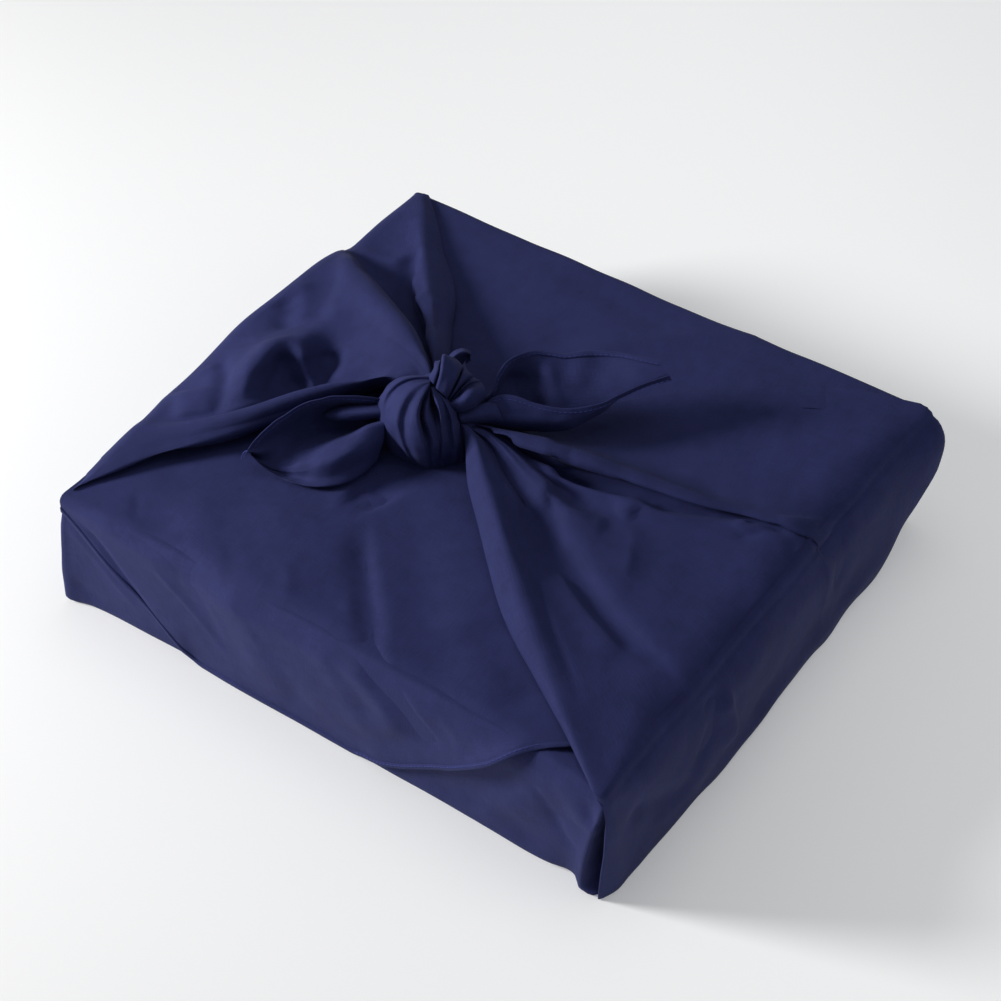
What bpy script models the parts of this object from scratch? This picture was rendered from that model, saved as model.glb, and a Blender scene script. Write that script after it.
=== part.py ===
"""A furoshiki: one square of cotton, folded round a flat box and tied on top in a square knot.

The solid is the closed outer form of the wrapped cloth. +X runs along the two ties, +Y to the far side,
and the origin is under the middle of the parcel, on the surface that it rests on.
"""
import bmesh
import bpy
import numpy as np

NAME = "furoshiki"
MM = 0.001

# The wrapped parcel, over the cloth
LENGTH = 330.0      # mm along X, the way the ties run
DEPTH = 298.0       # mm along Y
HEIGHT = 80.0       # mm, the flat top
EDGE_ROUND = 7.0    # mm, how softly the cloth turns the edges
FOOT_ROUND = 4.0    # mm, the same where it rests
BASE_SHARE = 0.985  # the flat base's share of the foot's outline
CLOTH = 2.0         # mm, the sheet's thickness in the tails
SUNK = 5.0          # mm, how far the folds' solids reach into the parcel

KNOT_FACE = (0.45, -0.6, 0.66)      # the way that the knot's full side looks
NAVY = (0.021, 0.020, 0.115, 1)     # linear colour of the dyed cotton

# How many steps each form is drawn with
TOP_STEPS = (26, 24)
SIDE_STEPS = 7
KNOT_RINGS = 12
KNOT_SIDES = 30
TAIL_STEPS = 3
FOLD_STEPS = 2      # strips between two neighbouring folds
RUN_STEPS = 13      # steps from the knot down to the foot of a flap

HALF_X = LENGTH / 2
HALF_Y = DEPTH / 2

# Soft ridges (+) and troughs (-) of the far flap on the flat top: from, to, half width, height, in mm
TOP_CREASES = (
    ("near fold", (-42, -58), (36, -143), 13, 2.2),
    ("near trough", (-24, -50), (70, -146), 17, -1.8),
    ("left sweep", (-95, -84), (-60, -146), 20, 2.0),
    ("left trough", (-128, -118), (-100, -147), 12, -1.4),
    ("far press", (12, 108), (58, 148), 8, 1.2),
    ("right press", (50, 92), (160, 140), 9, 1.2),
)

# Soft ridges and troughs of the sides: side, from, to (place along the side, z), half width, height, in mm
SIDE_CREASES = (
    ("near", "near fold", (36, 80), (73, 34), 7, 1.6),
    ("near", "folded ear", (-160, 66), (-95, 14), 8, 2.2),
    ("near", "ear crease", (-142, 70), (-78, 12), 9, -1.4),
    ("near", "left sweep", (-60, 80), (-28, 10), 14, 1.6),
    ("right", "foot fold", (118, 18), (-70, 12), 7, 1.4),
    ("right", "corner fold", (55, 76), (66, 24), 9, -1.6),
    ("far", "far fold", (-90, 70), (60, 14), 16, 1.5),
    ("far", "far trough", (40, 72), (150, 20), 14, -1.5),
)

# Where the folded corners stand proud of the parcel: centre, reach and push, in mm
CORNERS = (
    ("left ear",     (-160, -149, 10), (26, 30, 34), (-7, -7, 0)),
    ("left top",     (-165, -149, 66), (16, 16, 20), (2, 1, -2)),
    ("front ear",    (162, -149, 6), (16, 20, 34), (1, -4, 0)),
    ("right bulge",  (165, 149, 48), (26, 34, 26), (12, 4, 0)),
    ("right top",    (165, 149, 80), (22, 22, 14), (0, 0, -3)),
    ("far left ear", (-165, 149, 20), (26, 26, 34), (-4, 5, 0)),
)

# The pocket of the front ear, a cone open to the near side: tip, middle of its foot, half width and depth
POCKET_TIP = (163, -149, 70)
POCKET_FOOT = (156.5, -154, -2)
POCKET_SIZE = (5.5, 10)
POCKET_SIDES = 10

# The far corner's hem as it crosses the near side: x, z, in mm, from the foot to the top edge and under the tie
HEM_LINE = ((24, 3), (46, 14), (62, 25), (80, 39), (101, 60), (114, 74))
HEM_STEP = 1.6      # mm that the hemmed edge stands off the cloth under it
HEM_FADE = 70       # mm over which that cloth sinks back into the parcel

# Folds of the left tie flap, front to back. mouth: share across the gathered mouth at the knot. edge: y where
# the fold turns over the parcel's edge. bow: sideways bend in mm. knot, near, mid, far, over: height above
# the flat top along the fold, in mm. foot: y at the foot of the side.
LEFT_MOUTH = ((-60, -16), (-50, 22))
LEFT_FOLDS = (
    # fold          mouth  edge   bow  knot near  mid  far over  foot
    ("tuck",         0.00, -122,   -8,   8,   3,  -2,  -3,  -4, -120),
    ("roll foot",    0.03, -136,  -12,  12,   6,   2,   1,   1, -134),
    ("roll face",    0.07, -128,  -12,  19,  15,  12,   9,   6, -128),
    ("roll crest",   0.15, -100,  -14,  26,  24,  22,  20,  14, -112),
    ("roll back",    0.26,  -72,  -12,  22,  15,  10,  11,  13,  -84),
    ("low ridge",    0.38,  -34,   -8,  22,  14,  12,  19,  20,  -46),
    ("pit",          0.48,   -2,   -4,  24,  15,   9,  14,  21,   -8),
    ("wide ridge",   0.60,   30,    0,  26,  20,  20,  20,  18,   26),
    ("sharp ridge",  0.74,   80,    2,  29,  27,  22,  16,  10,   70),
    ("back valley",  0.82,  100,    4,  20,  13,   5,   3,   4,  100),
    ("back ridge",   0.92,  139,    2,  28,  23,  16,   9,   3,  136),
    ("back foot",    1.00,  145,    6,  14,   9,   2,  -2,  -3,  142),
)

# The same for the right tie flap
RIGHT_MOUTH = ((-14, -12), (-3, 10))
RIGHT_FOLDS = (
    # fold          mouth  edge   bow  knot near  mid  far over  foot
    ("tuck",         0.00, -139,    0,   6,   2,  -2,  -3,  -4, -134),
    ("roll face",    0.04, -145,   -5,  17,  11,   6,   3,   1, -139),
    ("roll crest",   0.12, -141,   -4,  23,  18,  13,   8,   3, -135),
    ("roll back",    0.30, -132,    8,  20,  12,   8,   5,   2, -128),
    ("valley",       0.40,  -88,   10,  17,  10,   4,   2,   1, -100),
    ("plateau",      0.55,  -45,    6,  20,  13,   7,   4,   2,  -50),
    ("under lip",    0.68,   36,    0,  14,   4,   1,   1,   1,   26),
    ("lip",          0.72,   44,   -3,  22,  19,  13,   7,   2,   60),
    ("lip crest",    0.80,   50,    2,  24,  20,  14,   8,   2,   90),
    ("back foot",    1.00,   55,    6,  12,   5,  -1,  -3,  -4,  122),
)

# The knot's parts, each a gathered bundle between two pinched ends: the ends, the half width and half depth
# where it is fullest, how far its middle is drawn out of line, and its pleats, in mm
KNOT = (
    # part            from               to                 wide deep  bulge          pleats depth
    ("front wrap",   (-37, 3, 117),     (-20, -32, 80),      21,  15,  (-2, -8, 6),   9,  0.08),
    ("back wrap",    (-48, 6, 110),     (-9, 4, 101),        13,  12,  (2, 2, 7),     7,  0.09),
    ("knot core",    (-58, -14, 88),    (-6, -2, 88),        20,  17,  (0, 0, 0),     5,  0.03),
    ("left neck",    (-66, -22, 98),    (-40, -12, 104),     11,  10,  (0, 0, 0),     5,  0.05),
)

# The two free corners of the cloth, each an open channel. A row for each line along the tail, from the far
# edge over the fold to the near edge: x, y, z in mm at the neck, waist, belly, narrows and tip
LEFT_TAIL = (
    ("hem",    (-48, -14, 108), (-63, -26, 113), (-76, -39, 115), (-88, -58, 111), (-96, -79, 101)),
    ("back",   (-48, -19, 101), (-60, -31, 102), (-73, -46, 100), (-84, -63, 99),  (-96, -82, 99)),
    ("keel",   (-46, -24, 95),  (-55, -43, 89),  (-66, -61, 86),  (-78, -73, 89),  (-96, -85, 96)),
    ("front",  (-41, -30, 95),  (-44, -55, 93),  (-53, -73, 91),  (-69, -84, 92),  (-94, -88, 98)),
)
RIGHT_TAIL = (
    ("top",    (-17, 11, 106),  (-14, 26, 117),  (6, 43, 121),    (28, 62, 117),   (44, 82, 109)),
    ("back",   (-15, 10, 100),  (-6, 28, 105),   (13, 44, 107),   (33, 63, 108),   (46, 80, 106)),
    ("keel",   (-13, 7, 95),    (1, 19, 89),     (22, 36, 90),    (39, 58, 98),    (48, 78, 103)),
    ("lip",    (-12, 1, 98),    (-3, 9, 99),     (19, 23, 103),   (38, 47, 104),   (52, 75, 105)),
)
# Small turned-back folds of the knot, through lines as the tails are
TOP_FOLD = (
    ("left",   (-42, -8, 108),  (-43, -2, 118),  (-44, 4, 125)),
    ("middle", (-37, -8, 110),  (-38, -1, 121),  (-39, 4, 127)),
    ("right",  (-34, -6, 107),  (-31, 2, 117),   (-29, 7, 122)),
)
REAR_FOLD = (
    ("under",  (-46, 12, 100),  (-46, 28, 97),   (-47, 41, 93)),
    ("crown",  (-48, 10, 108),  (-51, 28, 106),  (-54, 44, 102)),
    ("back",   (-54, 14, 106),  (-60, 28, 101),  (-66, 42, 94)),
)

RUN_SHARES = (0.0, 0.15, 0.4, 0.7, 1.0)   # where knot, near, mid, far and over stand along a fold
SIDE_RUN = ((6, 0.72), (2.5, 0.36), (-1.5, 0.06))  # outward bulge in mm and share of the height, down a side


def spline(rows, steps):
    """Points on one smooth curve through the rows, with the given steps between two rows."""
    rows = np.asarray(rows, float)
    ends = np.concatenate([2 * rows[:1] - rows[1:2], rows, 2 * rows[-1:] - rows[-2:-1]])
    out = []
    for k in range(len(rows) - 1):
        a, b, c, d = ends[k:k + 4]
        for t in np.linspace(0, 1, steps, endpoint=False):
            out.append(0.5 * (2 * b + (c - a) * t + (2 * a - 5 * b + 4 * c - d) * t ** 2
                              + (3 * b - a - 3 * c + d) * t ** 3))
    out.append(rows[-1])
    return np.array(out)


def resample(points, count):
    """The same curve drawn with evenly spaced points."""
    points = np.asarray(points, float)
    lengths = np.concatenate([[0], np.cumsum(np.linalg.norm(np.diff(points, axis=0), axis=1))])
    at = np.linspace(0, lengths[-1], count)
    return np.stack([np.interp(at, lengths, points[:, axis]) for axis in range(points.shape[1])], 1)


def make_object(name, points, faces):
    mesh = bpy.data.meshes.new(name)
    mesh.from_pydata([tuple(np.asarray(p, float) * MM) for p in points], [], faces)
    mesh.validate()
    bm = bmesh.new()
    bm.from_mesh(mesh)
    bmesh.ops.remove_doubles(bm, verts=bm.verts, dist=1e-6)
    bmesh.ops.recalc_face_normals(bm, faces=bm.faces)
    bm.to_mesh(mesh)
    bm.free()
    obj = bpy.data.objects.new(name, mesh)
    bpy.context.scene.collection.objects.link(obj)
    return obj


def grid_faces(rows, columns, offset=0, flip=False):
    faces = []
    for i in range(rows - 1):
        for j in range(columns - 1):
            a = offset + i * columns + j
            face = (a, a + 1, a + columns + 1, a + columns)
            faces.append(face[::-1] if flip else face)
    return faces


def slab(name, outer, inner):
    """A closed solid between two grids of points with the same rows and columns."""
    rows, columns = outer.shape[:2]
    count = rows * columns
    points = np.concatenate([outer.reshape(-1, 3), inner.reshape(-1, 3)])
    faces = grid_faces(rows, columns) + grid_faces(rows, columns, count, flip=True)
    rim = [j for j in range(columns)]
    rim += [i * columns + columns - 1 for i in range(1, rows)]
    rim += [(rows - 1) * columns + j for j in range(columns - 2, -1, -1)]
    rim += [i * columns for i in range(rows - 2, 0, -1)]
    for a, b in zip(rim, rim[1:] + rim[:1]):
        faces.append((a, a + count, b + count, b))
    return make_object(name, points, faces)


def soft_line(x, y, start, end, half_width):
    """1 on the line from start to end, falling softly to 0 beside it and past its ends."""
    run = np.subtract(end, start)
    along = np.clip(((x - start[0]) * run[0] + (y - start[1]) * run[1]) / run.dot(run), 0, 1)
    away = np.hypot(x - start[0] - along * run[0], y - start[1] - along * run[1])
    return float(np.exp(-(away / half_width) ** 2))


def spaced(half, steps):
    """Lines across a face, closer where the cloth turns the edge."""
    inner = np.linspace(-half + EDGE_ROUND, half - EDGE_ROUND, steps)
    turn = half - EDGE_ROUND * 0.45
    return np.concatenate([[-half, -turn], inner, [turn, half]])


def side_of(p):
    """The side that a point lies on, its place along it and the way out of it."""
    if p[1] <= -HALF_Y:
        return "near", p[0], (0, -1, 0)
    if p[1] >= HALF_Y:
        return "far", p[0], (0, 1, 0)
    if p[0] >= HALF_X:
        return "right", p[1], (1, 0, 0)
    return "left", p[1], (-1, 0, 0)


def shape_point(p):
    """A point of the plain block, with the edges turned round and the creases and corners drawn out."""
    turn = EDGE_ROUND if p[2] > HEIGHT / 2 else FOOT_ROUND
    core = np.clip(p, (turn - HALF_X, turn - HALF_Y, turn), (HALF_X - turn, HALF_Y - turn, HEIGHT - turn))
    away = p - core
    q = core + away / np.linalg.norm(away) * turn
    if p[2] >= HEIGHT:
        q[2] += sum(rise * soft_line(p[0], p[1], a, b, wide) for _, a, b, wide, rise in TOP_CREASES)
    else:
        side, place, out = side_of(p)
        rise = sum(rise * soft_line(place, p[2], a, b, wide)
                   for on, _, a, b, wide, rise in SIDE_CREASES if on == side)
        q += np.array(out) * rise * min(1, p[2] / 20)
    for _, centre, reach, push in CORNERS:
        q += np.array(push) * np.exp(-np.sum(((p - centre) / reach) ** 2))
    q[2] = max(q[2], 0)
    return q


def parcel():
    """The flat parcel under the ties, with softly turned edges and a flat base."""
    xs = spaced(HALF_X, TOP_STEPS[0])
    ys = spaced(HALF_Y, TOP_STEPS[1])
    zs = np.concatenate([[0, FOOT_ROUND], np.linspace(FOOT_ROUND, HEIGHT - EDGE_ROUND, SIDE_STEPS)[1:],
                         [HEIGHT - EDGE_ROUND * 0.45, HEIGHT]])
    points, faces = [], []

    def face_grid(grid):
        faces.extend(grid_faces(len(grid), len(grid[0]), len(points)))
        points.extend(shape_point(np.array(p, float)) for row in grid for p in row)

    face_grid([[(x, y, HEIGHT) for x in xs] for y in ys])
    for y in (-HALF_Y, HALF_Y):
        face_grid([[(x, y, z) for x in xs] for z in zs])
    for x in (-HALF_X, HALF_X):
        face_grid([[(x, y, z) for y in ys] for z in zs])
    body = make_object(NAME, points, faces)
    bm = bmesh.new()
    bm.from_mesh(body.data)
    rim = bmesh.ops.extrude_edge_only(bm, edges=[edge for edge in bm.edges if edge.is_boundary])["geom"]
    for vert in (v for v in rim if isinstance(v, bmesh.types.BMVert)):
        vert.co = (vert.co.x * BASE_SHARE, vert.co.y * BASE_SHARE, 0)
    bmesh.ops.contextual_create(bm, geom=[edge for edge in bm.edges if edge.is_boundary])
    bmesh.ops.recalc_face_normals(bm, faces=bm.faces)
    bm.to_mesh(body.data)
    bm.free()
    return body


def hemmed_edge():
    """The far corner of the cloth, whose hem crosses the near side."""
    line = spline(HEM_LINE, 2)
    outer, inner = [], []
    for share in np.linspace(0, 1, 4):
        row = [shape_point(np.array((x - HEM_FADE * share, -HALF_Y, z))) for x, z in line]
        rise = HEM_STEP * (1 - 1.5 * share)
        outer.append([(x, y - rise, z) for x, y, z in row])
        inner.append([(x, SUNK - HALF_Y, z) for x, _, z in row])
    return slab("hemmed edge", np.array(outer), np.array(inner))


def pocket():
    """The hollow of the front ear, to be cut away."""
    turns = np.linspace(0, 2 * np.pi, POCKET_SIDES, endpoint=False)
    points = [POCKET_TIP] + [(POCKET_FOOT[0] + POCKET_SIZE[0] * np.cos(t),
                              POCKET_FOOT[1] + POCKET_SIZE[1] * np.sin(t), POCKET_FOOT[2]) for t in turns]
    faces = [(0, 1 + k, 1 + (k + 1) % POCKET_SIDES) for k in range(POCKET_SIDES)]
    return make_object("pocket", points, faces + [tuple(range(POCKET_SIDES, 0, -1))])


def fold_run(mouth, side, row):
    """One fold from the knot, over the parcel's edge and down its side."""
    _, share, edge, bow, *heights, foot = row
    start = np.array(mouth[0], float) * (1 - share) + np.array(mouth[1], float) * share
    end = np.array((side * (HALF_X - 5), edge), float)
    run = end - start
    across = np.array((-run[1], run[0])) / np.linalg.norm(run) * side
    points = []
    for along, height in zip(RUN_SHARES, heights):
        x, y = start + run * along + across * bow * 4 * along * (1 - along)
        points.append((x, y, HEIGHT + height))
    over = heights[-1]
    for step, (bulge, level) in enumerate(SIDE_RUN):
        y = edge + (foot - edge) * (step + 1) / len(SIDE_RUN)
        out = HALF_X + bulge * min(1, 0.25 + over / 20)
        points.append((side * out, y, HEIGHT * level + over * 0.3 * (level > 0.5)))
    return resample(spline(points, 4), RUN_STEPS)


def tie_flap(name, mouth, side, folds):
    """A corner of the cloth drawn up over one end of the parcel and gathered into the knot."""
    runs = np.array([fold_run(mouth, side, row) for row in folds])
    outer = spline(runs.reshape(len(folds), -1), FOLD_STEPS).reshape(-1, RUN_STEPS, 3)
    share = np.linspace(0, 1, len(outer))[:, None, None]
    inner = outer[:1] * (1 - share) + outer[-1:] * share
    inner[..., 2] = np.minimum(inner[..., 2], HEIGHT - SUNK)
    inner[..., 0] = side * np.minimum(np.abs(inner[..., 0]), HALF_X - SUNK)
    return slab(name, outer, inner)


def bundle(name, start, end, wide, deep, bulge, pleats, pleat_depth):
    """Cloth gathered at both ends, its pleats running from one to the other."""
    start, end, bulge = (np.array(v, float) for v in (start, end, bulge))
    axis = end - start
    length = np.linalg.norm(axis)
    axis /= length
    deep_way = KNOT_FACE - axis * axis.dot(KNOT_FACE)
    deep_way /= np.linalg.norm(deep_way)
    wide_way = np.cross(axis, deep_way)
    points = [start]
    for ring in range(1, KNOT_RINGS):
        turn = np.pi * ring / KNOT_RINGS
        middle = start + axis * length * (1 - np.cos(turn)) / 2 + bulge * np.sin(turn)
        for step in range(KNOT_SIDES):
            angle = 2 * np.pi * step / KNOT_SIDES
            full = np.sin(turn) ** 0.7 * (1 + pleat_depth * np.cos(pleats * angle))
            points.append(middle + full * (wide_way * wide * np.cos(angle) + deep_way * deep * np.sin(angle)))
    points.append(end)
    faces = []
    for step in range(KNOT_SIDES):
        beside = (step + 1) % KNOT_SIDES
        faces.append((0, 1 + beside, 1 + step))
        for ring in range(KNOT_RINGS - 2):
            a, b = 1 + ring * KNOT_SIDES + step, 1 + ring * KNOT_SIDES + beside
            faces.append((a, b, b + KNOT_SIDES, a + KNOT_SIDES))
        last = 1 + (KNOT_RINGS - 2) * KNOT_SIDES
        faces.append((last + step, last + beside, len(points) - 1))
    return make_object(name, points, faces)


def loose_sheet(name, lines):
    """A free end or turned-back fold of the cloth, as a thin sheet through its lines."""
    rows = np.array([row[1:] for row in lines], float)
    across = spline(rows.reshape(len(rows), -1), TAIL_STEPS).reshape(-1, rows.shape[1], 3)
    sheet = np.array([spline(row, TAIL_STEPS) for row in across])
    obj = make_object(name, sheet.reshape(-1, 3), grid_faces(*sheet.shape[:2]))
    skin = obj.modifiers.new("cloth", "SOLIDIFY")
    skin.thickness = CLOTH * MM
    skin.offset = 0
    return obj


def cotton():
    material = bpy.data.materials.new("navy cotton")
    material.use_nodes = True
    shader = material.node_tree.nodes["Principled BSDF"]
    shader.inputs["Base Color"].default_value = NAVY
    shader.inputs["Roughness"].default_value = 0.9
    return material


def combine(body, pieces, operation):
    """Joins or cuts the body with the pieces, which stay hidden as its tools."""
    tools = bpy.data.collections.new(operation.lower())
    bpy.context.scene.collection.children.link(tools)
    for piece in pieces:
        bpy.context.scene.collection.objects.unlink(piece)
        tools.objects.link(piece)
        piece.hide_render = True
        piece.display_type = "WIRE"
    modifier = body.modifiers.new(operation.lower(), "BOOLEAN")
    modifier.operation = operation
    modifier.operand_type = "COLLECTION"
    modifier.collection = tools
    modifier.solver = "EXACT"


def build():
    for obj in list(bpy.data.objects):
        bpy.data.objects.remove(obj)
    body = parcel()
    body.data.materials.append(cotton())
    folds = [hemmed_edge(),
             tie_flap("left tie", LEFT_MOUTH, -1, LEFT_FOLDS),
             tie_flap("right tie", RIGHT_MOUTH, 1, RIGHT_FOLDS),
             loose_sheet("left tail", LEFT_TAIL),
             loose_sheet("right tail", RIGHT_TAIL),
             loose_sheet("top fold", TOP_FOLD),
             loose_sheet("rear fold", REAR_FOLD)]
    folds += [bundle(*row) for row in KNOT]
    combine(body, folds, "UNION")
    combine(body, [pocket()], "DIFFERENCE")


build()
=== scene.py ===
import math

import bmesh
import bpy
import numpy as np
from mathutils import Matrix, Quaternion, Vector


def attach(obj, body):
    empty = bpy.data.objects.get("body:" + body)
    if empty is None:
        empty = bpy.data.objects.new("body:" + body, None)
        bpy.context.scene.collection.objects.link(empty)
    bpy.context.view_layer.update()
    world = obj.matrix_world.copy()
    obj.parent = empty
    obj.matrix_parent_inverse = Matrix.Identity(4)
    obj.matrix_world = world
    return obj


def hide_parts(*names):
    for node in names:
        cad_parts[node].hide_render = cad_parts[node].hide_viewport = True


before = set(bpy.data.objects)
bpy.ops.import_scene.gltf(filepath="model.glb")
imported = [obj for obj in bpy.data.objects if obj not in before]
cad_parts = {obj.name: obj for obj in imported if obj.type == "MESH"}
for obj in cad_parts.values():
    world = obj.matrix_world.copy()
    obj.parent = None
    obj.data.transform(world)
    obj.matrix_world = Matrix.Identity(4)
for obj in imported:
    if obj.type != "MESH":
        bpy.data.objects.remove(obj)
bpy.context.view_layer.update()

# A navy cotton square folded round a flat box and tied on top. Lengths below are in millimetres, in the
# frame's axes: +X along the ties, +Y to the far side, +Z up from the table. A rise is a height over the top.
mm = 0.001
parcel = dict(halfLong=165.0, halfDeep=149.0, tall=80.0, farRound=4.0, footRound=4.0)
# How softly the near top edge turns down, from left to right: x, radius
nearRound = ((-165, 2.5), (-148, 5), (-115, 11), (-70, 15), (120, 15), (165, 9))
# How softly the cloth turns down at the right end, from the near corner to the far one: y, radius
rightRound = ((-149, 3), (-128, 12), (-95, 24), (60, 28), (105, 22), (135, 12), (149, 6))
# How far it swells out there: y, reach
rightSwell = ((-149, 0.5), (-120, 3), (-60, 5.5), (40, 5.5), (120, 5), (149, 5))
# How far the parcel stands out from a plain box, or draws in from it, elsewhere
fullness = dict(farSide=2.8, farSideRight=1.8, nearFoot=1.4, farRightFoot=6, leftLean=4.6, leftDrop=7.5)


def smoothRows(rows, steps):
    # A smooth curve through the rows, with the given number of steps between each two of them.
    rows = np.asarray(rows, float)
    flat = rows.reshape(len(rows), -1)
    jump = np.diff(flat, axis=0).reshape(len(rows) - 1, -1, 3)
    gap = np.sqrt(np.linalg.norm(jump, axis=2).mean(axis=1)) + 1e-6
    rate = np.diff(flat, axis=0) / gap[:, None]
    slope = np.empty_like(flat)
    slope[1:-1] = (rate[:-1] * gap[1:, None] + rate[1:] * gap[:-1, None]) / (gap[1:] + gap[:-1])[:, None]
    slope[0] = rate[0] * 1.5 - slope[1] * 0.5 if len(rows) > 2 else rate[0]
    slope[-1] = rate[-1] * 1.5 - slope[-2] * 0.5 if len(rows) > 2 else rate[-1]
    out = []
    for k in range(len(rows) - 1):
        count = steps if isinstance(steps, int) else steps[k]
        t = np.linspace(0, 1, count, endpoint=False)[:, None]
        out.append((2 * t ** 3 - 3 * t ** 2 + 1) * flat[k] + (t ** 3 - 2 * t ** 2 + t) * gap[k] * slope[k]
                   + (3 * t ** 2 - 2 * t ** 3) * flat[k + 1] + (t ** 3 - t ** 2) * gap[k] * slope[k + 1])
    out.append(flat[-1:])
    return np.concatenate(out).reshape((-1,) + rows.shape[1:])


def evenLine(points, count):
    # The smooth curve through the points, cut into evenly spaced ones.
    fine = smoothRows(points, 16)
    run = np.concatenate([[0], np.cumsum(np.linalg.norm(np.diff(fine, axis=0), axis=1))])
    at = np.linspace(0, run[-1], count)
    return np.stack([np.interp(at, run, fine[:, axis]) for axis in range(3)], 1)


def loftLines(lines, spacing):
    # A grid of points over neighbouring lines, with rows no further apart than the spacing.
    lines = np.asarray(lines, float)
    gaps = np.linalg.norm(np.diff(lines, axis=0), axis=2)
    steps = [max(2, int(math.ceil(np.percentile(gap, 80) / spacing))) for gap in gaps]
    return smoothRows(lines, steps)


def gridNormals(grid):
    along = np.gradient(grid, axis=1)
    across = np.gradient(grid, axis=0)
    normal = np.cross(along, across)
    return normal / (np.linalg.norm(normal, axis=2, keepdims=True) + 1e-9)


def lineDistance(points, line):
    # For each point: how far it is from the line, the share along it, and the nearest place and way on.
    best = np.full(len(points), 1e9)
    share = np.zeros(len(points))
    nearest = np.zeros((len(points), 3))
    heading = np.zeros((len(points), 3))
    runs = np.linalg.norm(np.diff(line, axis=0), axis=1)
    total = runs.sum()
    start = 0.0
    for a, b, run in zip(line[:-1], line[1:], runs):
        way = (b - a) / (run + 1e-9)
        t = np.clip((points - a) @ way, 0, run)
        place = a + t[:, None] * way
        gap = np.linalg.norm(points - place, axis=1)
        closer = gap < best
        best[closer] = gap[closer]
        share[closer] = (start + t[closer]) / total
        nearest[closer] = place[closer]
        heading[closer] = way
        start += run
    return best, share, nearest, heading


def ease(share):
    share = np.clip(share, 0, 1)
    return share * share * (3 - 2 * share)


def facing(grid, middle):
    # 1 where the sheet's own normals look away from the middle that it lies round, -1 where they look at it.
    return 1 if np.sum((grid - np.array(middle, float)) * gridNormals(grid)) > 0 else -1


# How a pressed line is shaped: the share of its length that fades at each end, how pointed a sharp one is,
# and how much steeper the left side of a step or a fold is than the right one
pressed = dict(fade=0.22, sharp=1.6, step=7, fold=2.6)


def pressFolds(grid, folds, middle=(0, 0, 40)):
    # Raises soft ridges, sharp pressed lines, one-sided folds and steps out of a sheet, away from the middle.
    points = grid.reshape(-1, 3)
    normals = gridNormals(grid).reshape(-1, 3) * facing(grid, middle)
    rise = np.zeros(len(points))
    for _, kind, wide, height, line in folds:
        curve = evenLine(line, 24)
        low, high = curve.min(axis=0) - 4 * wide, curve.max(axis=0) + 4 * wide
        inside = np.all((points > low) & (points < high), axis=1)
        if not inside.any():
            continue
        gap, share, nearest, heading = lineDistance(points[inside], curve)
        fade = ease(share / pressed["fade"]) * ease((1 - share) / pressed["fade"])
        x = gap / wide
        if kind == "soft":
            shape = np.exp(-x * x)
        elif kind == "sharp":
            shape = np.exp(-np.sqrt(x * x + 0.01) * pressed["sharp"])
        else:
            # Gentle on the right of the line's way, and steep on its left
            side = np.cross(heading, normals[inside])
            x = np.sum((points[inside] - nearest) * side, axis=1) / wide
            if kind == "step":
                shape = 0.5 * (1 + np.tanh(x * pressed["step"])) * np.exp(-np.clip(x, 0, None) ** 2)
            else:
                shape = np.exp(-np.where(x > 0, x, x * pressed["fold"]) ** 2)
            fade = fade * (gap < 3 * wide)
        rise[inside] += height * shape * fade
    return (points + normals * rise[:, None]).reshape(grid.shape)


def ruffle(grid, size, depth, seed, waves=18):
    # The slight unevenness of cloth that has been handled: waves of about the size given, in all directions.
    points = grid.reshape(-1, 3)
    dice = np.random.default_rng(seed)
    rise = np.zeros(len(points))
    for _ in range(waves):
        way = dice.normal(size=3)
        way *= 2 * math.pi / (np.linalg.norm(way) * size * dice.uniform(0.7, 2.0))
        rise += np.sin(points @ way + dice.uniform(0, 6.28))
    rise *= depth / 4.2
    return (points + gridNormals(grid).reshape(-1, 3) * rise[:, None]).reshape(grid.shape)


def softenRightEdge(grid):
    # Rounds the long edge at the right end, where every layer turns down over the box.
    table = np.array(rightRound, float)
    turn = np.interp(grid[..., 1], table[:, 0], table[:, 1])
    out = grid[..., 0] - (parcel["halfLong"] - turn)
    up = grid[..., 2] - (parcel["tall"] - turn)
    inside = (out > 0) & (up > 0)
    square = np.maximum(out, up)
    scale = np.where(inside, square / np.maximum(np.hypot(out, up), 1e-6), 1.0)
    rounded = grid.copy()
    rounded[..., 0] = np.where(inside, parcel["halfLong"] - turn + out * scale, grid[..., 0])
    rounded[..., 2] = np.where(inside, parcel["tall"] - turn + up * scale, grid[..., 2])
    return rounded


def fillOut(grid):
    # The parcel isn't quite a box: it swells at the right end and at the far side, its left end leans out and
    # sinks at the top, and its near foot and far right foot draw in.
    x, y, z = grid[..., 0], grid[..., 1], grid[..., 2]
    swell = np.array(rightSwell, float)
    farSwell = fullness["farSide"] + fullness["farSideRight"] * ease((x - 20) / 100)
    lean = ease((-x - 118) / 47) * ease((y + 100) / 50) * ease((55 - y) / 65) * ease((z - 40) / 40)
    filled = grid.copy()
    filled[..., 0] += np.interp(y, swell[:, 0], swell[:, 1]) * ease((x - 122) / 40)
    filled[..., 0] -= (fullness["farRightFoot"] * ease((50 - z) / 50) * ease((x - 135) / 30)
                       * ease((y - 105) / 40))
    filled[..., 0] -= fullness["leftLean"] * lean
    filled[..., 1] += farSwell * ease((y - 100) / 40)
    filled[..., 1] += (fullness["nearFoot"] * ease((45 - z) / 45) * ease((-y - 122) / 22)
                       * ease((x + 172) / 14) * ease((152 - x) / 12))
    filled[..., 2] -= fullness["leftDrop"] * lean
    filled[..., 2] += farSwell * ease((y - 40) / 90) * ease((z - 30) / 30)
    return filled


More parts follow.
